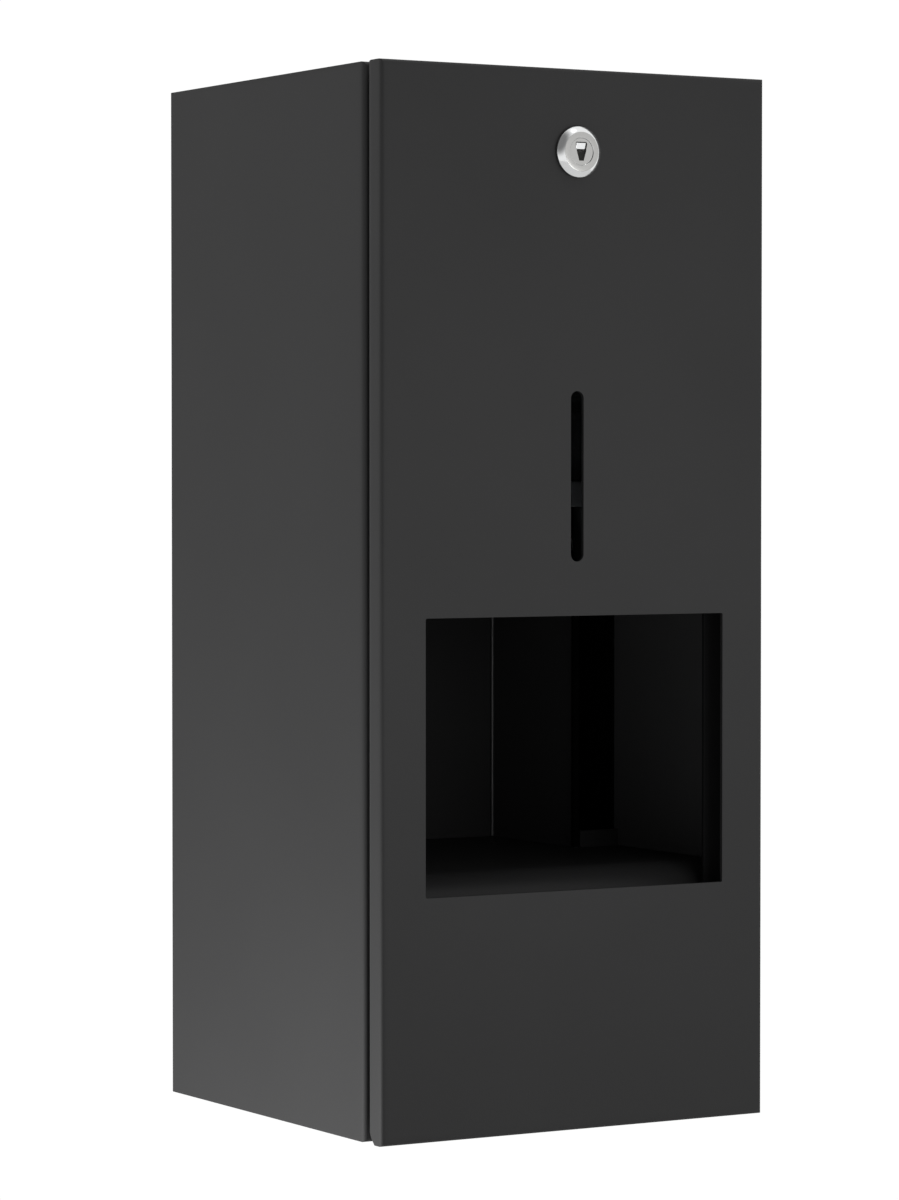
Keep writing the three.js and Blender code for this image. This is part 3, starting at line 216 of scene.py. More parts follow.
def cell_finish(name, nub_y, foot_y):
    """A dark cell sleeve with a copper band towards its nub."""
    material = finish_of(name, (0.03, 0.03, 0.035), 0.3, scale=500.0, grain=0.08)
    nodes, links = material.node_tree.nodes, material.node_tree.links
    shader = nodes["Principled BSDF"]
    sleeve = shader.inputs["Base Color"].links[0].from_socket
    where = nodes.new("ShaderNodeTexCoord")
    split = nodes.new("ShaderNodeSeparateXYZ")
    links.new(where.outputs["Object"], split.inputs["Vector"])
    band = nodes.new("ShaderNodeMapRange")
    band.inputs["From Min"].default_value = (nub_y + 0.3 * (foot_y - nub_y)) * MM
    band.inputs["From Max"].default_value = (nub_y + 0.31 * (foot_y - nub_y)) * MM
    band.inputs["To Min"].default_value = 1.0
    band.inputs["To Max"].default_value = 0.0
    links.new(split.outputs["Y"], band.inputs["Value"])
    mix = nodes.new("ShaderNodeMix")
    mix.data_type = "RGBA"
    mix.inputs["B"].default_value = (0.42, 0.2, 0.09, 1.0)
    links.new(band.outputs["Result"], mix.inputs["Factor"])
    links.new(sleeve, mix.inputs["A"])
    links.new(mix.outputs["Result"], shader.inputs["Base Color"])
    return material


def make_finishes():
    nub, foot = span("battery_1")
    return {
        # the floor's coat is a darker copy of the inner coat: painted shade of the recess; its gloss is the
        # finish's own
        "tray_painted_shade": finish_of("painted_shade_tray_coat", (0.011, 0.011, 0.0112), 0.42, specular=0.12,
                                scale=2000.0, grain=0.12, blotch=0.08),
        # near-black copy of the coat for the frame lip behind the door: painted shade
        "lip_painted_shade": finish_of("painted_shade_lip_coat", (0.006, 0.006, 0.0062), 0.7, specular=0.1,
                               scale=2000.0, grain=0.2, blotch=0.08),
        # darker copy of the coat for the chassis web at the back of the recess: painted shade
        "web_painted_shade": finish_of("painted_shade_web_coat", (0.0115, 0.0115, 0.0117), 0.7, specular=0.1,
                               scale=2000.0, grain=0.2, blotch=0.08),
        "wall_paint": finish_of("inside_black_coat", (0.05, 0.05, 0.051), 0.62, specular=0.3,
                                scale=2000.0, grain=0.2, blotch=0.06),
        # lighter, glossier copy of the coat for the rods in the chassis corners: a painted highlight
        "corner_painted_highlight": finish_of("corner_bead_coat", (0.05, 0.05, 0.051), 0.35, specular=0.35,
                          scale=900.0, grain=0.05, blotch=0.08),
        # near-black sheet for the duct linings and the plates' edge strips: painted shade
        "painted_shade_sheet": finish_of("black_painted_shade_coat", (0.001, 0.001, 0.001), 0.95, specular=0.02,
                          scale=700.0, grain=0.6, blotch=0.2),
        "black_paint": finish_of("black_powder_coat", (0.0173, 0.0173, 0.0176), 0.62, specular=0.22,
                                 scale=2200.0, grain=0.22, blotch=0.05),
        "inner_paint": finish_of("inner_black_coat", (0.03, 0.03, 0.0305), 0.6, specular=0.3,
                                 scale=2000.0, grain=0.2, blotch=0.08),
        "lock_face": finish_of("brushed_lock_face", (0.43, 0.43, 0.42), 0.3, metallic=1.0,
                               scale=900.0, grain=0.05, blotch=0.04),
        "chrome": finish_of("chrome_plate", (0.78, 0.79, 0.79), 0.13, metallic=1.0,
                            scale=700.0, grain=0.03, blotch=0.03, rough_swing=0.05),
        "steel": finish_of("zinc_steel", (0.42, 0.43, 0.44), 0.38, metallic=1.0, scale=600.0,
                           grain=0.12, blotch=0.12, blotch_scale=120.0),
        "brass": finish_of("brass", (0.62, 0.44, 0.17), 0.28, metallic=1.0, scale=800.0,
                           grain=0.06, blotch=0.08, blotch_scale=90.0),
        "black_plastic": finish_of("black_moulding", (0.018, 0.018, 0.019), 0.5, scale=1500.0,
                                   grain=0.16, blotch=0.06),
        "grey_plastic": finish_of("grey_moulding", (0.1, 0.105, 0.11), 0.48, scale=1500.0,
                                  grain=0.14, blotch=0.05),
        "smoked_plastic": finish_of("smoked_plastic", (0.07, 0.075, 0.08), 0.22, scale=120.0,
                                    grain=0.05, blotch=0.06, Transmission_Weight=0.45, IOR=1.48),
        "white_plastic": finish_of("white_moulding", (0.66, 0.66, 0.63), 0.42, scale=1200.0,
                                   grain=0.08, blotch=0.03, Subsurface_Weight=0.05),
        "rubber": finish_of("black_rubber", (0.012, 0.012, 0.013), 0.82, specular=0.25,
                            scale=1100.0, grain=0.25, blotch=0.1),
        "silicone": finish_of("clear_silicone", (0.62, 0.62, 0.58), 0.34, scale=300.0,
                              grain=0.04, blotch=0.03, Transmission_Weight=0.35, IOR=1.41),
        "sensor_lens": finish_of("sensor_lens", (0.012, 0.006, 0.01), 0.08, scale=400.0,
                                 grain=0.02, blotch=0.1, rough_swing=0.03, Coat_Weight=0.4),
        "circuit_board": board_finish("green_board"),
        "cell_wrap": cell_finish("cell_sleeve", nub.y, foot.y),
    }


# ---------------------------------------------------------------- mesh helpers, in millimetres

def span(node):
    low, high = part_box(node)
    return Vector(low) / MM, Vector(high) / MM


def middle_of(node):
    low, high = span(node)
    return (low + high) / 2.0


def show(name, bm, slot, body, nodes=(), outward=None, wall=0.0, edge=0.0, finish=None, also=(),
         inside=0):
    """Makes the piece: merged, facing outwards, thickened and edge-rounded as asked."""
    bmesh.ops.remove_doubles(bm, verts=bm.verts, dist=WELD)
    bmesh.ops.recalc_face_normals(bm, faces=bm.faces)
    if outward is not None:
        bm.normal_update()
        lean = sum((f.normal * f.calc_area() for f in bm.faces), Vector())
        if lean.dot(Vector(outward)) < 0.0:
            bmesh.ops.reverse_faces(bm, faces=bm.faces)
    bmesh.ops.scale(bm, vec=(MM, MM, MM), verts=bm.verts)
    mesh = bpy.data.meshes.new(name)
    bm.to_mesh(mesh)
    bm.free()
    register(name, mesh, slot, body, nodes, wall, edge, finish=finish, also=also, inside=inside)


def register(name, mesh, slot, body, nodes=(), wall=0.0, edge=0.0, finish=None, also=(), inside=0):
    """Dresses the mesh. Finishes in also go to the faces numbered 1 and up, and inside is how far on
    in that list a sheet's inner side is."""
    for each in (finish or slot, *also):
        mesh.materials.append(finishes[each])
    mesh.shade_smooth()
    mesh.set_sharp_from_angle(angle=SMOOTH_ANGLE)
    piece = bpy.data.objects.new(name, mesh)
    bpy.context.scene.collection.objects.link(piece)
    if wall:
        thicken = piece.modifiers.new("wall", "SOLIDIFY")
        thicken.thickness = wall * MM
        thicken.offset = -1.0
        thicken.use_even_offset = True
        thicken.material_offset = inside
    if edge:
        round_edges(piece, edge)
    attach(piece, body)
    if nodes:
        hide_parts(*nodes)


def round_edges(piece, width):
    rounding = piece.modifiers.new("edges", "BEVEL")
    rounding.width = width * MM
    rounding.segments = 2
    rounding.limit_method = "ANGLE"
    rounding.angle_limit = math.radians(40.0)
    rounding.use_clamp_overlap = True
    rounding.harden_normals = True


def softened(node, slot, edge):
    """A merged copy of the CAD solid, with its flats made whole and its edges eased."""
    bm = bmesh.new()
    bm.from_mesh(frame["nodes"][node].data)
    bmesh.ops.remove_doubles(bm, verts=bm.verts, dist=WELD * MM)
    bmesh.ops.dissolve_limit(bm, angle_limit=math.radians(0.5), verts=bm.verts, edges=bm.edges)
    mesh = bpy.data.meshes.new(node + "_finished")
    bm.to_mesh(mesh)
    bm.free()
    register(mesh.name, mesh, slot, BODY_OF[node], (node,), edge=edge)


def loop(bm, points):
    """A closed ring of edges through a few points."""
    corners = [bm.verts.new(p) for p in points]
    return [bm.edges.new((corners[i - 1], corners[i])) for i in range(len(corners))]


def rounded_loop(bm, centre, size, radius, level, axis="Z", segments=6):
    """A rounded rectangle's ring, square to the axis at the given level."""
    u, v = size[0] / 2.0, size[1] / 2.0
    flat = [(centre[0] + a * u, centre[1] + b * v) for a, b in ((-1, -1), (1, -1), (1, 1), (-1, 1))]
    put = {"X": lambda p: (level, p[0], p[1]), "Y": lambda p: (p[0], level, p[1]),
           "Z": lambda p: (p[0], p[1], level)}[axis]
    edges = loop(bm, [put(p) for p in flat])
    corners = list({v for e in edges for v in e.verts})
    done = bmesh.ops.bevel(bm, geom=corners, offset=radius, offset_type="OFFSET", segments=segments,
                           profile=0.5, affect="VERTICES", material=-1)
    touched = {v for v in done["verts"] if v.is_valid}
    return [e for e in bm.edges if e.verts[0] in touched and e.verts[1] in touched]


def ring(bm, centre, radius, level, axis="Z", segments=ROUND):
    """A round ring, square to the axis at the given level."""
    turn = {"X": Matrix.Rotation(math.radians(90.0), 4, "Y"), "Z": Matrix.Identity(4),
            "Y": Matrix.Rotation(math.radians(90.0), 4, "X")}[axis]
    place = {"X": (level, centre[0], centre[1]), "Y": (centre[0], level, centre[1]),
             "Z": (centre[0], centre[1], level)}[axis]
    half_step = Matrix.Rotation(math.pi / segments, 4, "Z")
    made = bmesh.ops.create_circle(bm, cap_ends=False, segments=segments, radius=radius,
                                   matrix=Matrix.Translation(place) @ turn @ half_step)
    corners = set(made["verts"])
    return [e for e in bm.edges if e.verts[0] in corners and e.verts[1] in corners]


def bridge(bm, rings):
    for lower, upper in zip(rings, rings[1:]):
        bmesh.ops.bridge_loops(bm, edges=lower + upper)


def fill(bm, edges, normal):
    return bmesh.ops.triangle_fill(bm, use_beauty=True, use_dissolve=False, edges=edges, normal=normal)


def turned(bm, profile, axis_point, axis="Z", segments=ROUND):
    """A round piece: [radius, height] pairs spun a full turn about the axis."""
    make = {"Z": lambda r, h: (r, 0.0, h), "Y": lambda r, h: (r, h, 0.0), "X": lambda r, h: (h, r, 0.0)}[axis]
    corners = [bm.verts.new(Vector(axis_point) + Vector(make(r, h))) for r, h in profile]
    edges = [bm.edges.new(pair) for pair in zip(corners, corners[1:])]
    spun = {"X": (1, 0, 0), "Y": (0, 1, 0), "Z": (0, 0, 1)}[axis]
    bmesh.ops.spin(bm, geom=corners + edges, cent=axis_point, axis=spun, angle=2.0 * math.pi,
                   steps=segments, use_merge=True, use_duplicate=False)
    bmesh.ops.remove_doubles(bm, verts=bm.verts, dist=WELD)


def folded_box(low, high, bend):
    """A sheet box, open at the back, its front edges bent round, its corners closed square. A border
    round each flat side keeps the bends from shading it."""
    bm = bmesh.new()
    size = high - low
    place = Matrix.Translation((low + high) / 2.0) @ Matrix.Diagonal((*size, 1.0))
    bmesh.ops.create_cube(bm, size=1.0, matrix=place)
    back = [f for f in bm.faces if f.calc_center_median().y > high.y - 0.01]
    bmesh.ops.delete(bm, geom=back, context="FACES_ONLY")
    folds = [e for e in bm.edges if max(v.co.y for v in e.verts) < low.y + 0.01]
    bmesh.ops.bevel(bm, geom=folds, offset=bend, offset_type="OFFSET", segments=6, profile=0.5,
                    affect="EDGES", material=-1)
    flats = sorted(bm.faces, key=lambda f: f.calc_area())[-5:]
    bmesh.ops.inset_individual(bm, faces=flats, thickness=BORDER, use_even_offset=True)
    bm.normal_update()
    front = max((f for f in bm.faces if abs(f.normal.y) > 0.99), key=lambda f: f.calc_area())
    return bm, front


# ---------------------------------------------------------------- housing, door and floor

def housing():
    """The folded shell: its front edge turns in to frame the mouth."""
    low, high = span("housing_shell")
    bm, front = folded_box(low, high, SHELL_BEND)
    shaded_lip_faces = bmesh.ops.inset_region(bm, faces=[front], thickness=FRAME_LIP - BORDER, depth=0.0,
                                         use_even_offset=True)["faces"]
    # the frame lip behind the door takes the near-black coat: painted shade
    for face in shaded_lip_faces:
        face.material_index = 1
    bmesh.ops.delete(bm, geom=[front], context="FACES")
    show("housing_box", bm, "black_paint", "housing", ["housing_shell"], wall=SHEET, edge=HAIRLINE,
         also=["lip_painted_shade", "wall_paint"], inside=2)


def duct_painted_shade():
    """Near-black sheets on the shell's side walls, where the lead climbs beside the chassis: painted shade
    for the gap behind the chassis plates.
    """
    low, high = span("chassis_bracket")
    wall_x = span("housing_shell")[1].x - SHEET
    for side, word in ((-1.0, "left"), (1.0, "right")):
        bm = bmesh.new()
        middle, size = ((low.y + high.y) / 2.0, 35.0), (high.y - low.y - 3.0, 238.0)
        outer = rounded_loop(bm, middle, size, 3.0, side * wall_x, "X")
        inner = rounded_loop(bm, middle, size, 3.0, side * (wall_x - 0.8), "X")
        bridge(bm, [outer, inner])
        fill(bm, outer, (side, 0.0, 0.0))
        fill(bm, inner, (-side, 0.0, 0.0))
        show(f"duct_painted_shade_{word}", bm, "rubber", "housing", edge=0.1, finish="painted_shade_sheet")


def chassis():
    """A folded channel: web on the wall side, a plate down each side, holes for studs and lead."""
    low, high = span("chassis_bracket")
    bm = bmesh.new()
    path = [bm.verts.new((x, y, low.z)) for x, y in
            ((low.x, low.y), (low.x, high.y), (high.x, high.y), (high.x, low.y))]
    for pair in zip(path, path[1:]):
        bm.edges.new(pair)
    bmesh.ops.bevel(bm, geom=path[1:3], offset=1.7, offset_type="OFFSET", segments=8, profile=0.5,
                    affect="VERTICES", material=-1)
    made = bmesh.ops.extrude_edge_only(bm, edges=bm.edges[:])["geom"]
    risen = [g for g in made if isinstance(g, bmesh.types.BMVert)]
    bmesh.ops.translate(bm, vec=(0.0, 0.0, high.z - low.z), verts=risen)
    bm.normal_update()
    web = max((f for f in bm.faces if abs(f.normal.y) > 0.99), key=lambda f: f.calc_area())
    screw_hole, screw_entry = 3.6, 5.0
    holes = [ring(bm, (x, z), 2.3, high.y, "Y", 24)
             for x in (-STUD_REACH, STUD_REACH) for z in (-STUD_RISE, STUD_RISE)]
    holes += [ring(bm, (x, -SCREW_RISE), screw_hole, high.y, "Y", 24)
              for x in (-SCREW_REACH, SCREW_REACH)]
    holes += [keyhole(bm, x, high.y, screw_hole, screw_entry) for x in (-SCREW_REACH, SCREW_REACH)]
    # the web takes a darker copy of the coat: painted shade
    for face in pierce(bm, web, holes, (0.0, 1.0, 0.0)):
        face.material_index = 1
    plate = max((f for f in bm.faces if f.calc_center_median().x < low.x + 0.01
                 and len(f.verts) == 4), key=lambda f: f.calc_area())
    pierce(bm, plate, [ring(bm, (CABLE_Y, z), 3.2, low.x, "X", 24) for z in CABLE_HOLES],
           (-1.0, 0.0, 0.0))
    show("chassis_channel", bm, "inner_paint", "housing", ["chassis_bracket"], outward=(0.0, 1.0, 0.0),
         wall=SHEET, edge=HAIRLINE, also=["web_painted_shade"])


def chassis_edge_shade_and_corner_highlight():
    """Near-black strips along the plates' front edges, painted shade over the edges' light, and a lighter,
    glossy rod down each inner corner, a painted highlight.
    """
    low, high = span("chassis_bracket")
    floor, ceiling = RECESS_FLOOR + 0.2, RECESS_CEILING
    for side, word in ((-1.0, "left"), (1.0, "right")):
        middle, size = (side * (high.x - SHEET / 2.0), low.y + 0.5), (SHEET + 0.9, 2.6)
        bm = bmesh.new()
        foot, head = (rounded_loop(bm, middle, size, 0.9, level, "Z") for level in (floor, ceiling))
        bridge(bm, [foot, head])
        fill(bm, foot, (0.0, 0.0, -1.0))
        fill(bm, head, (0.0, 0.0, 1.0))
        # near-black strip over the plate's front edge: painted shade
        show(f"edge_painted_shade_{word}", bm, "rubber", "housing", finish="painted_shade_sheet")
        bm = bmesh.new()
        radius, tuck = 0.5, SHEET + 0.45
        corner = (side * (high.x - tuck), high.y - tuck, 0.0)
        turned(bm, [(0.0, floor), (radius, floor), (radius, ceiling), (0.0, ceiling)], corner, "Z", 16)
        # lighter, glossy rod in the inner corner: a painted highlight
        show(f"corner_bead_{word}", bm, "inner_paint", "housing", finish="corner_painted_highlight")


def keyhole(bm, x, level, slim, wide):
    """A round entry with a narrower hanging hole above it, as one ring."""
    low_z, high_z = SCREW_RISE - 9.0, SCREW_RISE
    edges = ring(bm, (x, low_z), wide, level, "Y", 32)
    neck = [v for v in {v for e in edges for v in e.verts} if v.co.z > low_z + wide * 0.7]
    for corner in neck:
        corner.co.x = x + (corner.co.x - x) * slim / (wide * 0.72)
        corner.co.z = high_z + math.sqrt(max(0.0, slim ** 2 - (corner.co.x - x) ** 2))
    return edges


def pierce(bm, face, holes, normal):
    """Opens holes in one flat face, each given as its ring of edges."""
    rim = list(face.edges)
    bmesh.ops.delete(bm, geom=[face], context="FACES_ONLY")
    made = fill(bm, rim + [e for hole in holes for e in hole], normal)["geom"]
    return [g for g in made if isinstance(g, bmesh.types.BMFace)]


def door():
    low, high = span("door_panel")
    bm, front = folded_box(low, high, DOOR_BEND)
    rim = list(front.edges)
    face_y = low.y
    bmesh.ops.delete(bm, geom=[front], context="FACES_ONLY")
    window = rounded_loop(bm, (0.0, WINDOW_MIDDLE), WINDOW_SIZE, 0.5, face_y, "Y", 4)
    lock_hole = ring(bm, (0.0, LOCK_RISE), LOCK_HOLE, face_y, "Y")
    slot = ring(bm, (0.0, SLOT_FOOT), SLOT_HALF, face_y, "Y", 24)
    upper = list({v for e in slot for v in e.verts if v.co.z > SLOT_FOOT})
    bmesh.ops.translate(bm, vec=(0.0, 0.0, SLOT_LENGTH - 2.0 * SLOT_HALF), verts=upper)
    fill(bm, rim + window + lock_hole + slot, (0.0, -1.0, 0.0))
    trim_hinge_edge(bm, low, high)
    ease_rim(bm, low, high)
    show("door_pan", bm, "black_paint", "door", ["door_panel"], outward=(0.0, -1.0, 0.0),
         wall=SHEET, edge=HAIRLINE)


def trim_hinge_edge(bm, low, high):
    """Leaves the bottom flange short and narrow, and clips the corners that swing past the shell."""
    flange_half, flange_depth, relief = 48.0, 5.0, 4.0
    for side in (-1.0, 1.0):
        bmesh.ops.bisect_plane(bm, geom=bm.verts[:] + bm.edges[:] + bm.faces[:],
                               plane_co=(side * flange_half, 0.0, 0.0), plane_no=(1.0, 0.0, 0.0))
    bmesh.ops.bisect_plane(bm, geom=bm.verts[:] + bm.edges[:] + bm.faces[:],
                           plane_co=(0.0, low.y + flange_depth, 0.0), plane_no=(0.0, 1.0, 0.0))
    spare = []
    for face in bm.faces:
        x, y, z = face.calc_center_median()
        if z < low.z + 0.05 and face.normal.z < -0.9:
            if abs(x) > flange_half or y > low.y + flange_depth:
                spare.append(face)
    bmesh.ops.delete(bm, geom=spare, context="FACES")
    bmesh.ops.bisect_plane(bm, geom=bm.verts[:] + bm.edges[:] + bm.faces[:],
                           plane_co=(0.0, high.y, low.z + relief), plane_no=(0.0, 1.0, -1.0),
                           clear_outer=True)


def ease_rim(bm, low, high):
    """Curls the flanges' rear edges gently inwards, so no raw edge faces the shadow gap."""
    reach, inset = 2.4, 1.0
    half_x, half_z, middle_z = high.x, (high.z - low.z) / 2.0, (high.z + low.z) / 2.0
    for part in (0.0, 0.3, 0.55, 0.75, 0.9):
        bmesh.ops.bisect_plane(bm, geom=bm.verts[:] + bm.edges[:] + bm.faces[:],
                               plane_co=(0.0, high.y - reach * (1.0 - part), 0.0),
                               plane_no=(0.0, 1.0, 0.0))
    for vert in bm.verts:
        along = max(0.0, (vert.co.y - high.y) / reach + 1.0)
        inwards = inset * (1.0 - math.sqrt(max(0.0, 1.0 - along * along)))
        vert.co.x *= 1.0 - inwards / half_x
        vert.co.z = middle_z + (vert.co.z - middle_z) * (1.0 - inwards / half_z)


def recess_floor():
    """The drip floor: flat sheet with small kerbs, and a front edge that rolls down."""
    low, high = span("drip_tray")
    top, radius = RECESS_FLOOR, TRAY_ROLL
    step, narrow, kerb = -57.3, 51.7, 53.5
    wide = high.x
    bm = bmesh.new()
    row = [bm.verts.new((x, step, top)) for x in (-wide, -kerb, -narrow, narrow, kerb, wide)]
    edges = [bm.edges.new(pair) for pair in zip(row, row[1:])]

    def push(some, vec):
        made = bmesh.ops.extrude_edge_only(bm, edges=some)["geom"]
        bmesh.ops.translate(bm, vec=vec, verts=[g for g in made if isinstance(g, bmesh.types.BMVert)])
        return [g for g in made if isinstance(g, bmesh.types.BMEdge) and
                all(v in made for v in g.verts)]

    push([edges[2]], (0.0, high.y - step, 0.0))
    push([edges[0]], (0.0, 0.0, high.z - top))
    push([edges[4]], (0.0, 0.0, high.z - top))
    roll_y = low.y + radius
    front = push(edges, (0.0, roll_y - step, 0.0))
    front = [e for e in front if abs(e.verts[0].co.y - roll_y) < 0.01
             and abs(e.verts[1].co.y - roll_y) < 0.01]
    rolled = bmesh.ops.spin(bm, geom=front, cent=(0.0, roll_y, top - radius), axis=(1.0, 0.0, 0.0),
                            angle=math.radians(90.0), steps=16, use_merge=False, use_duplicate=False)
    last = [g for g in rolled["geom_last"] if isinstance(g, bmesh.types.BMEdge)]
    push(last, (0.0, 0.0, low.z - (top - radius)))
    # the floor takes a darker copy of the inner coat: painted shade
    show("recess_floor", bm, "inner_paint", "housing", ["drip_tray"], outward=(0.0, 0.0, 1.0),
         wall=SHEET, edge=HAIRLINE, finish="tray_painted_shade")


# ---------------------------------------------------------------- lock

def lock_head():
    """A chromed barrel: flat face, broad polished bevel and a thin rim."""
    low, high = span("lock_barrel")
    z = middle_of("lock_barrel").z
    face, seat, back, bore = low.y, low.y + 2.2, high.y, PLUG_RADIUS + 0.06
    bm = bmesh.new()
    turned(bm, [(bore, back), (bore, face + 0.1), (bore + 0.1, face), (5.95, face), (6.12, face + 0.05),
                (7.8, seat - 0.85), (7.95, seat - 0.68), (8.0, seat - 0.5), (8.0, seat - 0.1),
                (7.9, seat), (5.5, seat), (5.5, back), (bore, back)], (0.0, 0.0, z), "Y", 96)
    for ring_face in bm.faces:
        middle = ring_face.calc_center_median()
        if middle.y < face + 0.04:
            ring_face.material_index = 1
    show("lock_head", bm, "chrome", "door", ["lock_barrel"], also=["lock_face"])


def lock_core():
    """The turning plug: a shield-shaped keyway in front, and a square tail behind."""
    low, high = span("lock_plug")
    centre = middle_of("lock_plug")
    face, shoulder, deepest, square = low.y, high.y - 2.7, low.y + 6.0, (4.0, 4.0)
    bm = bmesh.new()
    outer = ring(bm, (0.0, centre.z), PLUG_RADIUS, face, "Y", 64)
    key = keyway(bm, centre.z, face)
    fill(bm, outer + key, (0.0, -1.0, 0.0))
    deep = keyway(bm, centre.z, deepest)
    bridge(bm, [key, deep])
    fill(bm, deep, (0.0, -1.0, 0.0))
    rear = ring(bm, (0.0, centre.z), PLUG_RADIUS, shoulder, "Y", 64)
    bridge(bm, [outer, rear])
    tail = rounded_loop(bm, (0.0, centre.z), square, 0.4, shoulder, "Y", 3)
    fill(bm, rear + tail, (0.0, 1.0, 0.0))
    end = rounded_loop(bm, (0.0, centre.z), square, 0.4, high.y, "Y", 3)
    bridge(bm, [tail, end])
    fill(bm, end, (0.0, 1.0, 0.0))
    show("lock_core", bm, "satin_steel", "lock", ["lock_plug"], edge=0.1, finish="lock_face")


def keyway(bm, z, level):
    """A keyway's outline: wide above, narrowing to a blunt foot."""
    shape = [(-2.1, 2.6), (-1.8, 3.0), (1.8, 3.0), (2.1, 2.6), (1.7, 0.2), (0.8, -2.8), (-0.8, -2.8),
             (-1.7, 0.2)]
    return loop(bm, [(x, level, z + rise) for x, rise in shape])


def dust_shutter():
    """A sprung flap that closes the top of the keyway and leans back towards its foot."""
    centre, face = middle_of("lock_plug"), span("lock_plug")[0].y
    bm = bmesh.new()
    front, back = (loop(bm, [(-1.7, face + near, centre.z + 2.7), (1.7, face + near, centre.z + 2.7),
                             (1.6, face + near + 0.5, centre.z + 0.8),
                             (-1.6, face + near + 0.5, centre.z + 0.8)]) for near in (0.12, 0.45))
    bridge(bm, [front, back])
    fill(bm, front, (0.0, -1.0, 0.0))
    fill(bm, back, (0.0, 1.0, 0.0))
    show("lock_dust_shutter", bm, "chrome", "lock", edge=0.08)


# ---------------------------------------------------------------- cells and springs

def cell(index):
    node = f"battery_{index}"
    low, high = span(node)
    centre = (low + high) / 2.0
    radius = (high.x - low.x) / 2.0
    shoulder, foot = low.y + 1.5, high.y
    bm = bmesh.new()
    turned(bm, [(0.0, low.y), (2.8, low.y), (3.2, low.y + 0.35), (3.2, shoulder), (8.8, shoulder),
                (9.2, shoulder + 0.5), (11.6, shoulder + 0.5), (12.0, shoulder), (12.6, shoulder + 0.1),
                (radius, shoulder + 0.7), (radius, foot - 0.7), (12.6, foot - 0.1), (12.0, foot),
                (11.4, foot - 0.4), (4.0, foot - 0.4), (3.6, foot), (0.0, foot)],
           (centre.x, 0.0, centre.z), "Y")
    show(f"cell_{index}", bm, "cell_wrap", "housing", [node])


def coil(index):
    """A conical contact spring, wound from wire."""
    node = f"contact_spring_{index}"
    low, high = span(node)
    centre = (low + high) / 2.0
    wire, turns, steps = 0.35, 3.0, 72
    foot, tip = (high.x - low.x) / 2.0 - wire, 2.2
    data = bpy.data.curves.new(f"cell_spring_{index}", "CURVE")
    data.dimensions = "3D"
    data.bevel_depth = wire * MM
    data.bevel_resolution = 3
    data.use_fill_caps = True
    line = data.splines.new("POLY")
    line.points.add(steps)
    for i, point in enumerate(line.points):
        share = i / steps
        angle = 2.0 * math.pi * turns * share
        reach = foot + (tip - foot) * share
        y = high.y - wire + (low.y - high.y + 2.0 * wire) * share
        spot = Vector((centre.x + reach * math.cos(angle), y, centre.z + reach * math.sin(angle)))
        point.co = (*(spot * MM), 1.0)
    spring = bpy.data.objects.new(data.name, data)
    data.materials.append(finishes["steel"])
    bpy.context.scene.collection.objects.link(spring)
    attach(spring, "housing")
    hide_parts(node)


# ---------------------------------------------------------------- tank, cap, pump and wiring

def stack(bm, centre, size, radius, levels, segments=6):
    """Rounded rectangles one above the other, each [inset, height], bridged into a wall."""
    rings = [rounded_loop(bm, centre, (size[0] - 2.0 * inset, size[1] - 2.0 * inset),
                          max(0.05, radius - inset), level, "Z", segments) for inset, level in levels]
    bridge(bm, rings)
    return rings[0], rings[-1]


def moulding(bm, centre, size, radius, low, high, ease):
    """A closed rounded block with eased edges."""
    foot, head = stack(bm, centre, size, radius, [
        (ease, low), (ease * 0.3, low + ease * 0.3), (0.0, low + ease), (0.0, high - ease),
        (ease * 0.3, high - ease * 0.3), (ease, high)], 4)
    fill(bm, foot, (0.0, 0.0, -1.0))
    fill(bm, head, (0.0, 0.0, 1.0))


def tank():
    """A blow-moulded bottle: soft corners, two stiffening grooves, a filling neck and a foot spout."""
    low, high = span("tank")
    centre, size = (0.0, (low.y + high.y) / 2.0), (high.x - low.x, high.y - low.y)
    floor, roof, corner, soft = low.z + 10.0, high.z - 11.0, 9.0, 4.0
    wall = [(soft, floor), (soft * 0.5, floor + soft * 0.13), (soft * 0.13, floor + soft * 0.5),
            (0.0, floor + soft)]
    for groove in (floor + 27.0, floor + 62.0):
        wall += [(0.0, groove), (0.5, groove + 0.5), (0.8, groove + 1.4), (0.8, groove + 2.6),
                 (0.5, groove + 3.5), (0.0, groove + 4.0)]
    wall += [(0.0, roof - soft), (soft * 0.13, roof - soft * 0.5), (soft * 0.5, roof - soft * 0.13),
             (soft, roof)]
    bm = bmesh.new()
    foot, shoulder = stack(bm, centre, size, corner, wall, 8)
    neck = [ring(bm, centre, radius, level) for radius, level in (
        (22.0, roof), (20.6, roof + 0.4), (20.0, roof + 1.6), (20.0, high.z))]
    bridge(bm, neck)
    fill(bm, shoulder + neck[0], (0.0, 0.0, 1.0))
    spout_at = (34.0, middle_of("socket_seal").y)
    spout = [ring(bm, spout_at, radius, level, segments=32) for radius, level in (
        (5.6, floor), (5.0, floor - 0.8), (5.0, low.z))]
    bridge(bm, spout)
    fill(bm, foot + spout[0], (0.0, 0.0, -1.0))
    show("soap_tank", bm, "smoked_plastic", "tank", ["tank"], wall=2.0)


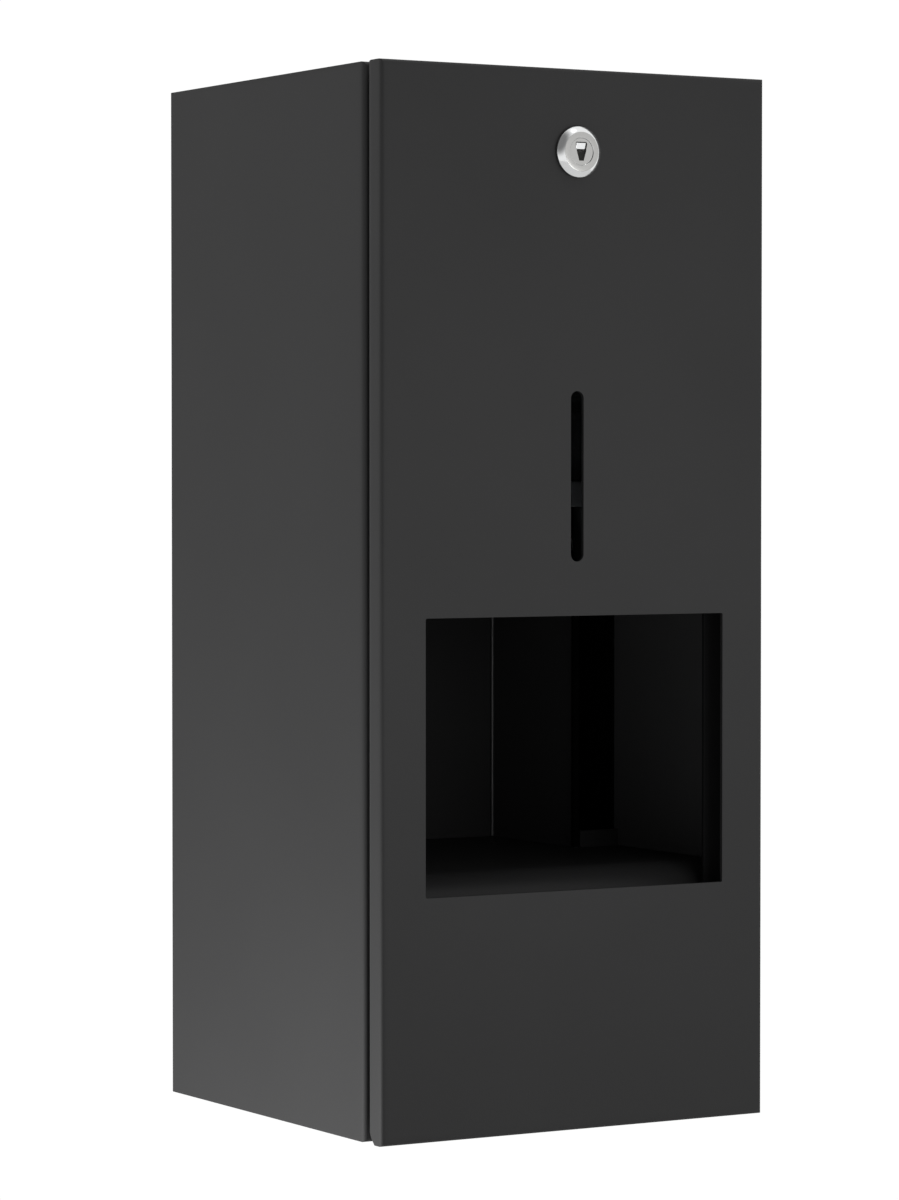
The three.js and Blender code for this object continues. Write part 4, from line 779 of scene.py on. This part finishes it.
def cap():
    """A quarter-turn cap with a ribbed skirt and a finger bar."""
    low, high = span("tank_cap")
    centre = middle_of("tank_cap")
    axis = (0.0, centre.y, 0.0)
    outer, top = high.x - 0.5, high.z - 3.0
    bm = bmesh.new()
    bore, ribs, rib_circle, bar = 20.3, 36, outer - 0.05, (36.6, 4.0)
    turned(bm, [(bore, low.z), (outer, low.z), (outer, top - 1.2), (outer - 0.35, top - 0.35),
                (outer - 1.2, top), (0.0, top), (0.0, top - 2.0), (bore, top - 2.0), (bore, low.z)],
           axis, "Z", 72)
    for number in range(ribs):
        turn = 2.0 * math.pi * number / ribs
        place = (math.cos(turn) * rib_circle, centre.y + math.sin(turn) * rib_circle, 0.0)
        turned(bm, [(0.0, low.z + 0.8), (0.4, low.z + 1.2), (0.5, low.z + 1.6), (0.5, top - 2.4),
                    (0.4, top - 2.0), (0.0, top - 1.6)], place, "Z", 8)
    moulding(bm, (0.0, centre.y), bar, 1.9, top - 0.5, high.z, 0.8)
    show("soap_cap", bm, "black_plastic", "cap", ["tank_cap"])


def motor():
    """A small geared motor: drawn can with a rolled foot and a raised bearing boss."""
    low, high = span("motor")
    centre = middle_of("motor")
    radius = (high.x - low.x) / 2.0
    bm = bmesh.new()
    turned(bm, [(0.0, low.z), (radius - 1.2, low.z), (radius - 0.5, low.z + 0.3),
                (radius - 0.3, low.z + 1.0), (radius - 0.6, low.z + 1.5), (radius, low.z + 2.1),
                (radius, high.z - 2.4), (radius - 0.3, high.z - 1.3), (radius - 1.2, high.z - 0.8),
                (3.2, high.z - 0.8), (3.0, high.z), (1.06, high.z), (1.06, high.z - 6.0),
                (0.0, high.z - 6.0)], (centre.x, centre.y, 0.0), "Z", 64)
    show("pump_motor", bm, "steel", "housing", ["motor"])


def outlet():
    """The nozzle: a flanged tip below the shelf, and a barb behind that takes the tube."""
    low, high = span("nozzle")
    y = low.y + 8.0
    barb_z = middle_of("pump_tube").z
    bm = bmesh.new()
    turned(bm, [(1.6, low.z + 0.3), (1.9, low.z), (3.0, low.z), (3.4, low.z + 0.3), (3.6, low.z + 2.6),
                (4.3, low.z + 3.1), (7.3, low.z + 3.1), (7.9, low.z + 3.5), (8.0, low.z + 4.0),
                (8.0, low.z + 5.2), (5.0, low.z + 5.2), (5.0, high.z - 0.5), (4.5, high.z),
                (0.0, high.z), (0.0, barb_z + 0.8), (1.6, barb_z + 0.8), (1.6, low.z + 0.3)],
           (0.0, y, 0.0), "Z")
    turned(bm, [(0.0, 4.6), (1.4, 4.6), (1.4, 8.2), (1.75, 8.6), (1.4, 9.4), (1.75, 9.8), (1.1, 11.0),
                (0.0, 11.0)], (0.0, y, barb_z), "Y", 24)
    show("outlet_nozzle", bm, "black_plastic", "housing", ["nozzle"])


def bent_tube(name, points, radius, slot, node):
    """A round lead or hose along a smooth curve through a few points."""
    data = bpy.data.curves.new(name, "CURVE")
    data.dimensions = "3D"
    data.bevel_depth = radius * MM
    data.bevel_resolution = 5
    data.resolution_u = 10
    data.use_fill_caps = True
    line = data.splines.new("BEZIER")
    line.bezier_points.add(len(points) - 1)
    for knot, point in zip(line.bezier_points, points):
        knot.co = Vector(point) * MM
        knot.handle_left_type = knot.handle_right_type = "AUTO"
    piece = bpy.data.objects.new(name, data)
    data.materials.append(finishes[slot])
    bpy.context.scene.collection.objects.link(piece)
    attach(piece, "housing")
    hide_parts(node)


def wiring():
    """The battery lead up the side duct, and the soft tube round the back of the pump."""
    y, low, high, duct = CABLE_Y, *CABLE_HOLES, -61.0
    bent_tube("battery_lead", [
        (-30.5, y, low), (-47.6, y, low), (-52.6, y, low), (-55.6, y, low),
        (duct + 1.5, y, low + 2.5), (duct, y, low + 7.0), (duct, y, (low + high) / 2.0),
        (duct, y, high - 7.0), (duct + 1.5, y, high - 2.5), (-55.6, y, high), (-52.6, y, high),
        (-49.6, y, high), (-44.3, y - 1.0, high - 2.0), (-40.3, y - 1.0, high - 2.0)],
        1.5, "rubber", "battery_cable")
    pump = middle_of("pump_cover")
    tube_z, track = middle_of("pump_tube").z, 17.0
    start_y, end_y = span("nozzle")[0].y + 13.6, span("pump_tube")[0].y
    around = [(pump.x + track * math.cos(turn), pump.y + track * math.sin(turn), tube_z)
              for turn in (math.pi * (1.0 - step / 12.0) for step in range(13))]
    bent_tube("soap_tube", [
        (pump.x - track, start_y, tube_z), (pump.x - track, (start_y + pump.y) / 2.0, tube_z), *around,
        (pump.x + track, (end_y + pump.y) / 2.0, tube_z), (pump.x + track, end_y, tube_z)],
        2.5, "silicone", "pump_tube")


def flat_block(bm, low, high, radius=0.3, ease=0.2):
    """A closed rounded block from its low and high corners."""
    moulding(bm, ((low[0] + high[0]) / 2.0, (low[1] + high[1]) / 2.0),
             (high[0] - low[0], high[1] - low[1]), radius, low[2], high[2], ease)


def electronics():
    """The board on the web, with its connector, a controller, two capacitors and a driver."""
    low, high = span("control_board")
    board_thickness, legs_a_side = 1.6, 6
    front = high.y - board_thickness
    bm = bmesh.new()
    flat_block(bm, (low.x, front, low.z), (high.x, high.y, high.z), 0.4, 0.2)
    flat_block(bm, (low.x + 2.0, low.y, low.z + 6.0), (low.x + 12.0, front + 0.2, low.z + 14.0), 0.5, 0.4)
    show("control_circuit", bm, "circuit_board", "housing", ["control_board"])
    bm = bmesh.new()
    flat_block(bm, (low.x + 17.0, front - 1.4, low.z + 6.0), (low.x + 25.0, front + 0.1, low.z + 14.0))
    flat_block(bm, (low.x + 29.0, front - 1.6, low.z + 3.0), (low.x + 34.0, front + 0.1, low.z + 7.0))
    show("controller_chips", bm, "black_plastic", "housing")
    bm = bmesh.new()
    for step in range(legs_a_side):
        rise = low.z + 6.8 + step * 1.25
        for side in (low.x + 16.0, low.x + 24.9):
            flat_block(bm, (side, front - 0.5, rise), (side + 1.1, front + 0.05, rise + 0.5), 0.15, 0.05)
    show("controller_legs", bm, "steel", "housing")
    bm = bmesh.new()
    for rise in (11.0, 17.0):
        turned(bm, [(0.0, front + 0.1), (2.4, front + 0.1), (2.4, front - 0.8), (2.2, front - 1.1),
                    (2.4, front - 1.4), (2.4, front - 5.2), (2.1, front - 5.5), (0.0, front - 5.5)],
               (low.x + 31.5, 0.0, low.z + rise), "Y", 32)
    show("board_capacitors", bm, "cell_wrap", "housing")


# ---------------------------------------------------------------- everything that keeps its CAD form

SLOT_OF = {
    "inner_paint": ["back_panel", "pump_shelf"],
    "black_paint": ["hinge_bracket_left", "hinge_bracket_right"],
    "steel": ["hinge_block_left", "hinge_block_right", "hinge_pin_left", "hinge_pin_right", "lock_nut",
              "lock_cam", "cam_screw", "chassis_nut_1", "chassis_nut_2", "chassis_nut_3", "chassis_nut_4",
              "rotor_shaft", "motor_shaft"],
    "brass": ["motor_pinion"],
    "black_plastic": ["nozzle_nut", "pump_cover", "roller_1", "roller_2",
                      "roller_3", "battery_box", "battery_cover", "switch_body"],
    "grey_plastic": ["tank_seat", "feed_socket", "switch_rocker"],
    "white_plastic": ["pump_housing", "pump_rotor", "drive_gear"],
    "rubber": ["socket_seal", "grommet_lower", "grommet_upper"],
    "sensor_lens": ["sensor_window", "sensor_emitter", "sensor_receiver"],
    "circuit_board": ["sensor_board"],
}
EDGE = 0.2
EASED = {"tank_seat": 0.5, "battery_box": 0.5, "battery_cover": 0.5, "switch_rocker": 0.4,
         "drive_gear": 0.08, "motor_pinion": 0.06, "sensor_window": 0.4, "lock_cam": 0.25,
         "lock_nut": 0.4, "pump_housing": 0.04}


def carried_over():
    for slot, nodes in SLOT_OF.items():
        for node in nodes:
            softened(node, slot, EASED.get(node, EDGE))


place_camera()
light_room()
finishes = make_finishes()
lay_floor()
soft_light("low_left_light", (-0.3, -0.03, -0.25), (-0.07, -0.05, -0.21), 0.16, 1.2)
soft_light("top_light", (0.1, -0.36, 0.62), (0.0, -0.14, 0.14), 0.07, 0.3)
soft_light("front_light", (0.06, -0.46, 0.0), (0.03, -0.14, 0.0), 0.2, 0.32)

housing()
duct_painted_shade()
chassis()
chassis_edge_shade_and_corner_highlight()
door()
recess_floor()
lock_head()
lock_core()
dust_shutter()
for cell_number in CELLS:
    cell(cell_number)
    coil(cell_number)
tank()
cap()
motor()
outlet()
wiring()
electronics()
carried_over()

bpy.context.scene.view_settings.view_transform = "Standard"
